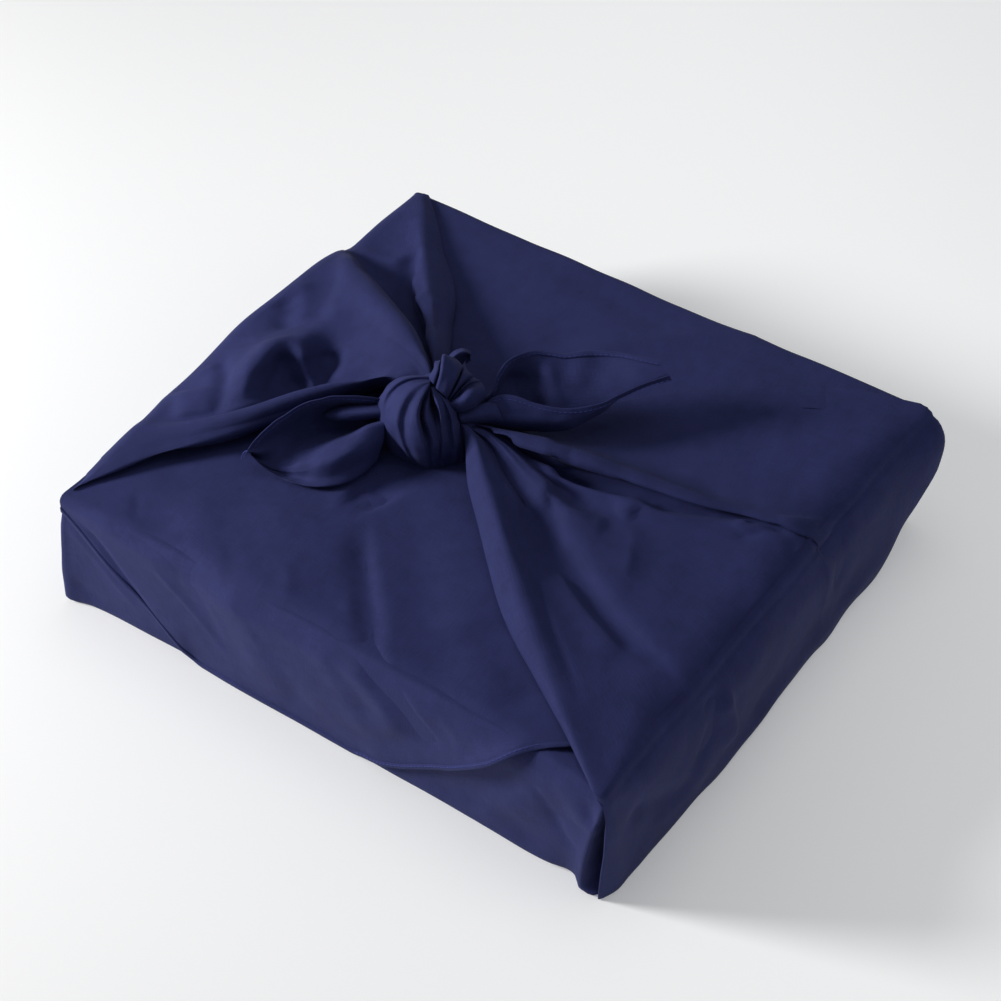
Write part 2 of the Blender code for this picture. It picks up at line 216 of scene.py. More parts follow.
class Bolt:
    # The sheets that make up one piece of the cloth, with their weave laid out in millimetres.
    def __init__(self):
        self.points, self.faces, self.weave = [], [], []
        self.count = 0

    def add(self, grid, middle=(0, 0, 40)):
        rows, columns = grid.shape[:2]
        steps = [np.linalg.norm(np.diff(grid, axis=way), axis=2).mean(axis=1 - way) for way in (1, 0)]
        u, v = np.meshgrid(*(np.concatenate([[0], np.cumsum(step)]) for step in steps))
        self.weave.append(np.stack([u, v], 2).reshape(-1, 2))
        self.points.append(grid.reshape(-1, 3))
        i, j = np.meshgrid(np.arange(rows - 1), np.arange(columns - 1), indexing="ij")
        a = (self.count + i * columns + j).ravel()
        quads = np.stack([a, a + 1, a + columns + 1, a + columns], 1)
        self.faces.append(quads if facing(grid, middle) > 0 else quads[:, ::-1])
        self.count += rows * columns

    def make(self, name, material):
        points = np.concatenate(self.points) * mm
        faces = np.concatenate(self.faces)
        weave = np.concatenate(self.weave)
        mesh = bpy.data.meshes.new(name)
        mesh.from_pydata(points.tolist(), [], faces.tolist())
        layer = mesh.uv_layers.new(name="weave")
        corner = np.empty(len(mesh.loops), dtype=np.int32)
        mesh.loops.foreach_get("vertex_index", corner)
        layer.data.foreach_set("uv", (weave[corner] * mm).astype(np.float32).ravel())
        mesh.materials.append(material)
        mesh.polygons.foreach_set("use_smooth", np.ones(len(mesh.polygons), dtype=bool))
        obj = bpy.data.objects.new(name, mesh)
        bpy.context.scene.collection.objects.link(obj)
        return obj


# The dye's two shades, how the cloth takes the light, and how its bumps stand: strength, distance in metres.
# Pitch, slub length and patch size are in millimetres
cottonLook = dict(deep=(0.0150, 0.0192, 0.0790), pale=(0.0226, 0.0276, 0.1120), roughness=0.84, sheen=0.02,
                  sheenTint=(0.55, 0.58, 0.9, 1), specular=0.2, pitch=0.42, slubLength=9.0, slubDepth=0.34,
                  weaveDepth=0.025, wander=9.0, patchSize=34.0, toneSpread=(0.36, 0.64),
                  crumple=(0.35, 0.0009), threads=(0.8, 0.001))


def plug(node, values):
    # Puts a number, a colour or a link into each socket named.
    for socket, value in values.items():
        if isinstance(value, bpy.types.NodeSocket):
            node.id_data.links.new(value, node.inputs[socket])
        else:
            node.inputs[socket].default_value = value
    return node


def addNode(tree, kind, values=None, **settings):
    node = tree.nodes.new(kind)
    for name, value in settings.items():
        setattr(node, name, value)
    return plug(node, values or {})


def groupOf(name, kind, inputs, outputs):
    # A node group with its sockets: the tree, the values given to it and the node for what it makes.
    tree = bpy.data.node_groups.new(name, kind)
    for way, sockets in (("INPUT", inputs), ("OUTPUT", outputs)):
        for socket, what in sockets.items():
            tree.interface.new_socket(socket, in_out=way, socket_type="NodeSocket" + what)
    return tree, tree.nodes.new("NodeGroupInput").outputs, tree.nodes.new("NodeGroupOutput")


def plainWeave():
    # Threads that go over and under, and the thicker lengths that cotton yarn has, along and across.
    tree, given, made = groupOf("plain weave", "ShaderNodeTree", {"Weave": "Vector"},
                                {"Height": "Float", "Tone": "Float"})

    def reckon(kind, *values):
        return addNode(tree, "ShaderNodeMath", dict(enumerate(values)), operation=kind).outputs[0]

    place = addNode(tree, "ShaderNodeSeparateXYZ", {0: given["Weave"]}).outputs
    turn = 2 * math.pi / (cottonLook["pitch"] * mm)
    slow, fast = 1000 / cottonLook["slubLength"], 1600
    slubs = []
    for stretch in ((slow, fast, 0), (fast, slow, 0)):
        scaled = addNode(tree, "ShaderNodeVectorMath", {0: given["Weave"], 1: stretch}, operation="MULTIPLY")
        noise = addNode(tree, "ShaderNodeTexNoise", {"Vector": scaled.outputs["Vector"], "Scale": 1,
                                                     "Detail": 2, "Roughness": 0.6})
        slubs.append(noise.outputs["Fac"])
    slub = reckon("ADD", reckon("MULTIPLY", slubs[0], 0.55), reckon("MULTIPLY", slubs[1], 0.45))
    # The yarn wanders by up to a thread's width
    shift = reckon("MULTIPLY", slub, cottonLook["wander"])
    warp = reckon("SINE", reckon("ADD", reckon("MULTIPLY", place["X"], turn), shift))
    weft = reckon("SINE", reckon("SUBTRACT", reckon("MULTIPLY", place["Y"], turn), shift))
    height = reckon("ADD", reckon("MULTIPLY", reckon("MULTIPLY", warp, weft), cottonLook["weaveDepth"]),
                    reckon("MULTIPLY", slub, cottonLook["slubDepth"]))
    plug(made, {"Height": height, "Tone": slub})
    return tree


def handledCloth():
    # Slight unevenness of the dye, and the soft crumple of cloth that has been folded before.
    tree, given, made = groupOf("handled cloth", "ShaderNodeTree", {"Place": "Vector"},
                                {"Height": "Float", "Tone": "Float"})
    patches = [addNode(tree, "ShaderNodeTexNoise", {"Vector": given["Place"], "Scale": 1000 / size,
                                                    "Detail": detail}).outputs["Fac"]
               for size, detail in ((cottonLook["patchSize"], 3), (cottonLook["patchSize"] / 4, 4))]
    blend = addNode(tree, "ShaderNodeMix", {0: 0.5, 2: patches[0], 3: patches[1]})
    plug(made, {"Tone": blend.outputs[0], "Height": patches[1]})
    return tree


def cottonMaterial(name, weaveTree, handledTree, lighten=1.0):
    material = bpy.data.materials.new(name)
    material.use_nodes = True
    tree = material.node_tree
    shader = plug(tree.nodes["Principled BSDF"], {
        "Roughness": cottonLook["roughness"], "Sheen Weight": cottonLook["sheen"], "Sheen Roughness": 0.5,
        "Sheen Tint": cottonLook["sheenTint"], "Specular IOR Level": cottonLook["specular"]})
    weave = addNode(tree, "ShaderNodeGroup", node_tree=weaveTree)
    plug(weave, {"Weave": addNode(tree, "ShaderNodeUVMap", uv_map="weave").outputs["UV"]})
    handled = addNode(tree, "ShaderNodeGroup", node_tree=handledTree)
    plug(handled, {"Place": addNode(tree, "ShaderNodeTexCoord").outputs["Object"]})
    tone = addNode(tree, "ShaderNodeMix", {0: 0.5, 2: weave.outputs["Tone"], 3: handled.outputs["Tone"]})
    low, high = cottonLook["toneSpread"]
    spread = addNode(tree, "ShaderNodeMapRange", {"From Min": low, "From Max": high,
                                                  "Value": tone.outputs[0]})
    deep, pale = (tuple(v * lighten for v in cottonLook[shade]) + (1,) for shade in ("deep", "pale"))
    tint = addNode(tree, "ShaderNodeMix", {"A": deep, "B": pale, "Factor": spread.outputs["Result"]},
                   data_type="RGBA")
    crumple, threads = (addNode(tree, "ShaderNodeBump", {"Strength": cottonLook[bump][0],
                                                         "Distance": cottonLook[bump][1],
                                                         "Height": group.outputs["Height"]})
                        for bump, group in (("crumple", handled), ("threads", weave)))
    plug(threads, {"Normal": crumple.outputs["Normal"]})
    plug(shader, {"Base Color": tint.outputs["Result"], "Normal": threads.outputs["Normal"]})
    return material


underLayer = dict(
    inset=1.2, lid=76.5, spacing=3.3, ruffle=(40, 0.3, 5),
    # The folded corners at the two ends of the near side: x, y at the heights in levels. The front one is a
    # dog-ear that hangs open below
    levels=(0, 7, 25, 44, 60, 70, 79),
    pocket=(
        ("near face", ((130, -147.6),) * 7),
        ("before lip", ((146, -145.5), (147, -147.0), (149, -148.0), (152, -148.6), (156, -148.6),
            (158, -148.2), (158, -147.6))),
        ("left lip", ((151.6, -149.6), (152.4, -150.2), (154.3, -150.6), (157.3, -150.6), (160.6, -150.4),
            (162.8, -149.6), (163.2, -147.5))),
        ("pocket side", ((155.7, -150.8), (154.6, -147.0), (155.2, -146.0), (158, -146.6), (161.2, -147.0),
            (162.9, -147.0), (163, -145.0))),
        ("pocket deep", ((159.3, -151.0), (157.4, -141.0), (156.5, -132.0), (158.5, -136.0), (161, -140.0),
            (162.5, -143.0), (163, -143.0))),
        ("pocket back", ((161.6, -149.4), (160.4, -138.0), (159, -129.0), (160, -132.0), (162, -136.0),
            (163, -139.0), (163.4, -139.0))),
        ("right face", ((162, -122),) * 7),
    ),
    leftEar=(
        ("left side", ((-166, -132), (-166, -132), (-165.5, -132), (-165, -132), (-164.4, -132),
            (-163.8, -131), (-163, -130))),
        ("ear back", ((-172, -145), (-171.6, -145), (-170.6, -145), (-168.6, -144), (-166.6, -143),
            (-165, -142), (-163, -140))),
        ("ear tip", ((-173.5, -152.5), (-173.2, -152.4), (-172, -151.8), (-169.6, -151), (-167, -150),
            (-165, -149), (-162, -146))),
        ("ear front", ((-166, -151.5), (-166, -151.4), (-166, -151), (-165, -150.2), (-163, -149.4),
            (-161, -148.6), (-158, -147.6))),
        ("ear foot", ((-146, -149.4), (-146, -149.2), (-147, -148.8), (-148, -148.4), (-148, -148),
            (-147, -147.8), (-146, -147.8))),
    ),
)

farFlap = dict(
    spacing=2.5, ruffle=(46, 0.32, 3),
    # How far it stands off at its edges, over what reach, and how far it is tucked in at the left foot
    standOff=1.2, standOffReach=24, tuck=0.9,
    # The hem curls up between two places along x. It is turned back: how far on and how far out its lines go
    curl=3.2, curlReach=9, curlFrom=66, curlTo=126,
    turned=((0.4, 0.3), (0, 0.65), (-1.6, 0.75), (-3.2, 0.6), (-3.6, -0.3)), thread=(-2.4, 0.8),
    sewn=(18, 123),
    # Where the flap's end crosses the near side: x, and the way from the top edge down to the end. It is a
    # folded edge on the left and the cloth's own hem on the right, which runs on over the top under the tie
    foldedEdge=((-165, 9), (-152, 20), (-132, 38), (-112, 54), (-96, 69), (-86, 79)),
    hem=((16, 79), (34, 72), (47, 64.5), (60, 55), (79, 40.5), (101, 19.5), (113, 6), (121, -2), (135, -16),
         (165, -46)),
)

farFlapFolds = (
    # fold            kind     wide  rise  line
    ("near trough",   "soft",   16,   -2, ((-22, -50, 80), (20, -92, 80), (52, -120, 80), (74, -146, 80))),
    ("near swell",    "soft",   22,  1.6, ((-70, -86, 80), (-44, -118, 80), (-26, -146, 80))),
    ("left sweep",    "soft",   16,  1.8, ((-112, -104, 80), (-86, -128, 80), (-62, -146, 79),
        (-40, -149, 50), (-24, -149, 14))),
    ("left trough",   "soft",   12, -1.2, ((-130, -112, 80), (-112, -132, 80), (-92, -147, 79),
        (-70, -149, 48), (-52, -149, 16))),
    ("far press",     "sharp",  16,  1.5, ((-47, 40, 80), (-22, 69, 80), (7, 105, 80), (37, 134, 80),
        (58, 148, 78))),
    ("far swell",     "soft",   24,    1, ((-20, 110, 80), (30, 112, 80), (90, 146, 80))),
    ("near lean",     "soft",    9,   -1, ((84, -149, 74), (64, -149, 52), (44, -149, 30), (30, -149, 16))),
    ("near lean",     "soft",   10,  1.1, ((0, -149, 76), (18, -149, 50), (26, -149, 22))),
    ("far side",      "soft",   14,  1.4, ((-90, 149, 72), (-20, 149, 40), (40, 149, 10))),
    ("far side",      "soft",   12, -1.3, ((60, 149, 74), (90, 149, 44), (130, 149, 16))),
    ("near crease",   "fold",    9, -3.2, ((-32, -70, 82), (-10, -96, 82), (13, -120, 82), (35, -144, 77),
        (50, -149, 69), (64, -149, 54), (77, -150, 45))),
    ("crease lip",    "sharp",   3,  1.8, ((-26, -74, 82), (-8, -95, 82), (14, -120, 82), (36, -142, 78),
        (51, -148, 71), (66, -148, 58), (80, -150, 49))),
    ("knot hollow",   "soft",   12,   -4, ((-50, -58, 80), (-38, -57, 80), (-26, -60, 80))),
    ("knot line",     "sharp",   3,  0.8, ((-48, -48, 80), (-41, -58, 81), (-32, -70, 82))),
    ("streak",        "sharp",   3,    1, ((-109, -148, 70), (-95, -149, 58), (-77, -149, 43),
        (-65, -147, 27), (-62, -146, 17))),
    ("streak",        "sharp",   3,  0.9, ((-70, -149, 64), (-63, -148, 45), (-58, -147, 23))),
    ("streak",        "sharp",   3,  0.9, ((-60, -146, 77), (-47, -151, 65), (-38, -151, 52),
        (-34, -151, 44))),
    ("press",         "sharp",   3, -0.8, ((-136, -123, 80), (-129, -131, 80), (-123, -140, 79))),
    ("sweep",         "soft",    9, -1.6, ((2, -148, 72), (13, -150, 65), (21, -150, 56), (32, -149, 40))),
    ("sweep",         "fold",   14,  1.6, ((15, -146, 75), (35, -149, 59), (51, -149, 38))),
    ("sweep",         "soft",   10, -1.2, ((-35, -150, 57), (-23, -150, 35), (-13, -145, 12))),
    ("slack",         "soft",   16, -1.8, ((53, -97, 79), (74, -106, 80), (96, -115, 80), (113, -125, 80))),
    ("slack",         "soft",   12,  1.2, ((33, -94, 78), (57, -109, 79), (86, -127, 80), (103, -143, 78))),
    ("end streak",    "sharp",   3,    1, ((71, -146, 73), (79, -148, 66), (83, -149, 58), (83, -151, 48))),
    ("small mark",    "soft",    4, -0.8, ((-76, -125, 82), (-64, -134, 82), (-59, -143, 79))),
    ("small mark",    "soft",    4,  0.8, ((-43, -119, 82), (-34, -127, 82), (-27, -138, 80))),
    ("small mark",    "sharp",   3,  0.7, ((-5, -114, 81), (0, -123, 80), (8, -131, 80))),
    ("edge valley",   "soft",  2.6, -1.6, ((-160, -148, 71), (-143, -150, 62), (-126, -150, 43),
        (-110, -148, 24), (-98, -148, 10))),
    ("far press",     "sharp",   4,  1.2, ((15, 110, 82), (36, 127, 83), (58, 146, 82), (64, 152, 74))),
    ("light line",    "sharp",   3,  0.9, ((16, 52, 82), (38, 74, 82), (68, 99, 83), (115, 128, 83),
        (150, 148, 82))),
    ("cross line",    "sharp",   3,  0.8, ((68, 99, 84), (67, 121, 84), (62, 147, 84))),
    ("far mark",      "soft",    5, -0.8, ((-33, 134, 83), (3, 128, 83), (39, 132, 85))),
    ("far mark",      "soft",    9,  0.8, ((-88, 125, 83), (-46, 123, 83), (-1, 114, 84))),
)


def nearTurn(x):
    table = np.array(nearRound, float)
    return np.interp(x, table[:, 0], table[:, 1])


def flapPath(level, near):
    # y and z along the flap's way, from the far foot over the top: the level is 0 at the near top edge.
    half, tall, far = parcel["halfDeep"], parcel["tall"], parcel["farRound"]
    if level > near:
        return -half, tall - level
    if level > -near:
        angle = (level + near) / (2 * near) * math.pi / 2
        return near - half - near * math.sin(angle), tall - near + near * math.cos(angle)
    over = 2 * half + level
    if over > far:
        return half - over, tall
    if over > -far:
        angle = (far - over) / (2 * far) * math.pi / 2
        return half - far + far * math.sin(angle), tall - far + far * math.cos(angle)
    return half, tall + over


def flapEnd(x):
    # How far below the near top edge the flap ends, in the column at x.
    left, right = np.array(farFlap["foldedEdge"], float), np.array(farFlap["hem"], float)
    if x < left[-1][0]:
        return float(np.interp(x, left[:, 0], left[:, 1]))
    if x > right[0][0]:
        return float(np.interp(x, right[:, 0], right[:, 1]))
    return 79.0


def alongEdge(edge, before, out, profile):
    # Lines that follow an edge of the cloth, each so far on past it and so far out from it.
    way = edge - before
    way /= np.linalg.norm(way, axis=1, keepdims=True) + 1e-9
    return [edge + way * on + out * off for on, off in profile]


def layFarFlap(bolt):
    half, tall = parcel["halfDeep"], parcel["tall"]
    xs = np.linspace(-parcel["halfLong"] + 0.5, parcel["halfLong"] - 2, int(325 / farFlap["spacing"]))
    ends = np.array([flapEnd(x) for x in xs])
    ends[1:-1] = (ends[:-2] + 2 * ends[1:-1] + ends[2:]) / 4
    upper = np.concatenate([np.linspace(-2 * half - tall, -2 * half - 9, 24, endpoint=False),
                            np.linspace(-2 * half - 9, -2 * half + 9, 8, endpoint=False),
                            np.linspace(-2 * half + 9, -50, 108, endpoint=False)])
    grid = []
    for x, end in zip(xs, ends):
        lower = -50 + (end + 50) * np.linspace(0, 1, 58)
        grid.append([(x,) + flapPath(level, float(nearTurn(x))) for level in np.concatenate([upper, lower])])
    grid = np.array(grid)
    x = grid[..., 0]
    # The cloth stands a little off what it crosses, most of all at its two free edges
    gap = np.linalg.norm(grid - grid[:, -1:], axis=2)
    onSide = np.clip((-half + 14 - grid[..., 1]) / 12, 0, 1)
    free = ease((79 - ends) / 9)[:, None]
    curl = (ease((x - farFlap["curlFrom"]) / 34) * ease((farFlap["curlTo"] - x) / 12)
            * np.exp(-(gap / farFlap["curlReach"]) ** 2))
    standOff = farFlap["standOff"] * np.exp(-(gap / farFlap["standOffReach"]) ** 2) * free
    lift = (standOff + farFlap["curl"] * curl) * onSide
    tuck = farFlap["tuck"] * (1 - free) * onSide * ease((30 - grid[..., 2]) / 30)
    grid = grid + gridNormals(grid) * facing(grid, (0, 0, 40)) * (lift - tuck)[..., None]
    grid = pressFolds(grid, farFlapFolds)
    grid = fillOut(softenRightEdge(ruffle(grid, *farFlap["ruffle"])))
    # The hem is turned back along the edge, and stitched
    out = gridNormals(grid)[:, -2] * facing(grid, (0, 0, 40))
    *turned, sewn = alongEdge(grid[:, -1], grid[:, -4], out, farFlap["turned"] + (farFlap["thread"],))
    bolt.add(np.concatenate([grid, np.stack(turned, 1)], 1))
    return [sewn[(xs > farFlap["sewn"][0]) & (xs < farFlap["sewn"][1])]]


def layUnderLayer(bolt):
    inset = underLayer["inset"]
    hx, hy = parcel["halfLong"] - inset, parcel["halfDeep"] - inset
    levels = underLayer["levels"]
    zs = np.concatenate([[0, 0.5, 1.6, 3.2], np.linspace(5, 66, 23), [69, 72, 75, 77, 78]])
    plain = []

    def upright(x, y):
        plain.append([(x, y)] * len(levels))

    for x in (-100, -50, 0, 50, 100):
        upright(x, -hy)
    plain.extend(list(places) for _, places in underLayer["pocket"])
    for y in (-60, 0, 60, 120):
        upright(hx, y)
    for angle in (8, 45, 82):
        upright(hx - 13 + 9 * math.cos(math.radians(angle)), hy - 12 + 9 * math.sin(math.radians(angle)))
    for x in (120, 60, 0, -60, -120):
        upright(x, hy - 1)
    for angle in (98, 135, 172):
        upright(-hx + 9 + 9 * math.cos(math.radians(angle)), hy - 9 + 9 * math.sin(math.radians(angle)))
    for y in (110, 50, 0, -50, -105):
        upright(-hx, y)
    plain.extend(list(places) for _, places in underLayer["leftEar"])
    upright(-100, -hy)
    lines = []
    for places in plain:
        lines.append(np.stack([np.interp(zs, levels, way) for way in zip(*places)] + [zs], 1))
    ring = loftLines(lines, underLayer["spacing"])
    # The near top edge is drawn in, under the flap that goes over it
    turn = nearTurn(ring[..., 0])
    drop = np.clip((ring[..., 2] - (parcel["tall"] - turn)) / turn, 0, 1)
    nearness = np.clip((-ring[..., 1] - 120) / 25, 0, 1)
    ring[..., 1] += nearness * turn * 0.8 * (1 - np.sqrt(1 - 0.92 * drop ** 2))
    ring = pressFolds(ring, underFolds)
    ring = fillOut(softenRightEdge(ruffle(ring, *underLayer["ruffle"])))
    middle = np.array([0, 0, 1.0])

    def drawnTo(edge, places):
        return np.stack([edge * (share, share, 0) + middle * z for share, z in places], 1)

    foot = ring.copy()
    for k, z in enumerate(zs[:4]):
        shrink = parcel["footRound"] * (1 - math.sqrt(max(0, 1 - (1 - z / 4) ** 2)))
        foot[:, k, :2] *= 1 - shrink / 165
        foot[:, k, 2] = z + 0.05
    under = drawnTo(ring[:, 0], ((0.0, 0.6), (0.5, 0.4), (0.9, 0.2), (0.975, 0.05)))
    lid = underLayer["lid"]
    cover = drawnTo(ring[:, -1], ((0.985, 78.4), (0.94, 77.6), (0.5, lid), (0.0, lid)))
    bolt.add(np.concatenate([under, foot, cover], 1))


underFolds = (
    # fold            kind     wide  rise  line
    ("near slack",    "soft",   10,   -1, ((60, -148, 8), (92, -148, 34), (118, -148, 62))),
    ("near slack",    "soft",    8,  1.1, ((84, -148, 4), (112, -148, 34), (138, -148, 66))),
    ("near slack",    "soft",    7, -0.9, ((112, -148, 4), (132, -148, 30), (149, -148, 60))),
    ("foot valley",   "sharp",   4, -1.6, ((121, -148, 62), (132, -148, 49), (142, -147, 31),
        (154, -151, 26))),
    ("foot valley",   "soft",    4, -1.4, ((151, -148, 68), (156, -149, 62), (159, -150, 53))),
    ("foot swell",    "soft",    8,  1.2, ((136, -146, 72), (146, -148, 64), (153, -149, 47))),
    ("foot swell",    "soft",   10, -0.9, ((79, -144, 16), (104, -146, 21), (126, -144, 17))),
    ("ear line",      "sharp", 2.4,    1, ((-166, -150, 64), (-151, -148, 47), (-134, -148, 30),
        (-118, -146, 13))),
    ("ear dark",      "soft",    5,   -1, ((-166, -150, 19), (-160, -148, 14), (-146, -146, 12))),
)


rightTie = dict(
    side=1, spacing=2.35, nip=1.1, runSteps=84, sideSteps=32, gather=(-27, -2, 14), drawnIn=0.6,
    ruffle=(30, 0.35, 21),
    # Folds from the front to the back. run: x, y and rise from the knot to the long end's edge. down: x, y
    # and z below the edge, to the foot
    folds=(
        ("tucked in", ((4, -12, 6), (24, -29, 3), (50, -52, 1.6), (80, -80, 1.2), (112, -108, 1),
            (142, -130, 0.9), (156, -140, 0.8)), ((162, -134, 70), (161, -131, 40), (159, -128, 8),
            (158, -127, 1))),
        ("under roll", ((-8, -13, 9), (11, -33, 3.5), (39, -59, 1.6), (68, -86, 1.1), (97, -106, 0.9),
            (137, -135, 0.8), (158, -148, 0.7)), ((163.6, -145, 70), (163, -141, 40), (161, -138, 8),
            (160, -137, 1))),
        ("roll face", ((-14, -10, 16), (5, -33, 11), (33, -59, 7), (62, -86, 4.5), (92, -105, 3),
            (136, -135, 2), (159, -151, 1.2)), ((164.6, -150.4, 67), (165, -150.4, 44), (163.3, -150, 24),
            (162, -149.4, 8), (161.4, -148.6, 0.6))),
        ("roll crest", ((-10, -10, 22), (14, -32, 18), (44, -58, 15), (74, -85, 11.5), (103, -107, 8.5),
            (142, -137, 5), (159, -149, 3)), ((166.5, -147, 68), (167, -145, 40), (166, -142, 10),
            (165, -140, 0.6))),
        ("roll back", ((-5, -10, 20), (16, -24, 15.5), (36, -40, 13), (58, -58, 10.5), (81, -77, 8),
            (110, -97, 5.5), (158, -136, 2.4)), ((165.8, -138, 68), (166, -134, 40), (165.4, -130, 10),
            (164.5, -128, 0.6))),
        ("valley", ((-3, -7, 17), (18, -17, 9), (42, -29, 2.4), (59, -38, 1.2), (82, -49, 1), (110, -62, 1),
            (136, -71, 1.1), (158, -80, 1)), ((164.8, -84, 68), (164.6, -86, 40), (164.6, -90, 10),
            (164, -92, 0.6))),
        ("valley rise", ((-1, -6, 19), (24, -13, 11.5), (48, -21, 7.6), (66, -30, 6.4), (88, -41, 5.2),
            (115, -54, 4), (140, -64, 2.8), (158, -72, 1.6)), ((165.2, -74, 68), (165.2, -76, 40),
            (165, -80, 10), (164.2, -82, 0.6))),
        ("plateau", ((0, -5, 20), (31, -12, 12.5), (69, -22, 8), (109, -34, 5), (140, -44, 3.2),
            (158, -50, 2)), ((165.4, -50, 68), (166, -52, 40), (165.6, -54, 10), (164.4, -55, 0.6))),
        ("floor front", ((-2, -3, 18), (22, -5, 10), (44, -6, 6), (74, -4, 4), (104, 4, 3), (134, 12, 2),
            (158, 16, 1.6)), ((165, 14, 68), (165.2, 10, 40), (165, 8, 10), (164, 8, 0.6))),
        ("pocket edge", ((-1, 0, 17), (18, -2.5, 11.5), (32, -2, 10), (46, -1, 8.6), (57, 1.5, 8),
            (70, 5.5, 7.4), (80, 8.5, 7), (91, 9.5, 6.2), (101, 13, 5.2), (110, 18.5, 4.4), (123, 25, 3.4),
            (158, 39, 1.4)), ((165, 37, 68), (165, 34, 40), (164.8, 31, 10), (164, 31, 0.6))),
        ("pocket floor", ((-3, 1, 13), (17, 2, 5), (31, 3, 1.2), (46, 4.5, 0.6), (57, 7, 0.6),
            (70, 11.5, 0.6), (90, 16, 0.6), (106, 22.5, 0.7), (122, 29.5, 0.8), (158, 42, 1)), ((165, 40, 68),
            (165, 37, 40), (164.8, 34, 10), (164, 34, 0.6))),
        ("under lip", ((-1, 1, 16), (19, 7, 9), (36, 12, 3.5), (57, 18, 2.2), (78, 22, 1.8), (107, 29, 1.5),
            (124, 35, 1.3), (158, 44, 1.3)), ((165.2, 42.5, 68), (165.2, 40, 40), (165, 38, 10),
            (164, 38, 0.6))),
        ("lip", ((1, -3, 21), (21, -1, 19.5), (39, 4, 17.5), (57, 9.5, 15), (78, 14.5, 12), (107, 22.8, 8),
            (124, 30.6, 5), (158, 45, 2.2)), ((165.6, 45, 68), (165.6, 43, 40), (165.2, 42, 10),
            (164, 42, 0.6))),
        ("lip crest", ((2, -2, 22.5), (27, 6, 20.5), (46, 13, 17.5), (70, 20, 13.5), (98, 26, 9.5),
            (126, 35, 5.2), (158, 48, 2.2)), ((165.6, 49, 68), (165.8, 50, 40), (165.4, 50, 10),
            (164.4, 50, 0.6))),
        ("back slope", ((-1, 5, 16), (24, 18, 9), (46, 27, 6), (71, 32, 4.6), (99, 36, 3.4), (126, 44, 2.4),
            (158, 56, 1.4)), ((165.2, 60, 68), (165.2, 64, 40), (165, 66, 10), (164, 66, 0.6))),
        ("foot", ((-4, 11, 10), (18, 30, 3), (42, 42, 1.8), (70, 48, 1.4), (99, 52, 1.2), (128, 60, 1.1),
            (158, 72, 1.0)), ((165.2, 80, 68), (166, 84, 40), (165.6, 84, 10), (164, 84, 0.6))),
        ("flat", ((-3, 15, 8), (14, 40, 2.2), (42, 64, 1.3), (76, 80, 1.1), (108, 96, 1.0), (136, 108, 1.0),
            (158, 116, 1.0)), ((166.5, 118, 68), (170, 120, 40), (166.5, 116, 10), (164.4, 114, 0.6))),
        ("back edge", ((-1, 18, 7), (15, 48, 2.0), (37, 75, 1.5), (66, 101, 1.4), (103, 124, 1.4),
            (131, 137, 1.4), (158, 145, 1.2)), ((172, 146, 69), (172, 145, 50), (167.5, 140, 36),
            (162.5, 136, 22), (159, 132, 0.6))),
        ("corner", ((-1, 18.6, 6), (15, 49, 1.2), (37, 76, 0.9), (66, 102, 0.9), (103, 125, 0.9),
            (131, 138, 0.9), (155, 147, 0.8)), ((164, 150, 70), (163, 150, 50), (157, 148.6, 36),
            (152, 148.2, 22), (148, 147.6, 0.6))),
        ("ear", ((0, 17, 5), (16, 46, 0.9), (39, 71, 0.6), (68, 96, 0.5), (105, 118, 0.5), (131, 130, 0.5),
            (150, 140, 0.4)), ((152, 149.8, 74), (145, 150, 48), (134, 149.8, 20), (124, 149.4, 0.6))),
        ("ear end", ((1, 15, 4), (18, 43, 0.6), (42, 66, 0.4), (71, 90, 0.3), (107, 111, 0.3),
            (131, 122, 0.3), (147, 130, 0.3)), ((148, 149.2, 75), (138, 149.4, 50), (124, 149.4, 22),
            (112, 149.2, 0.8))),
    ),
)

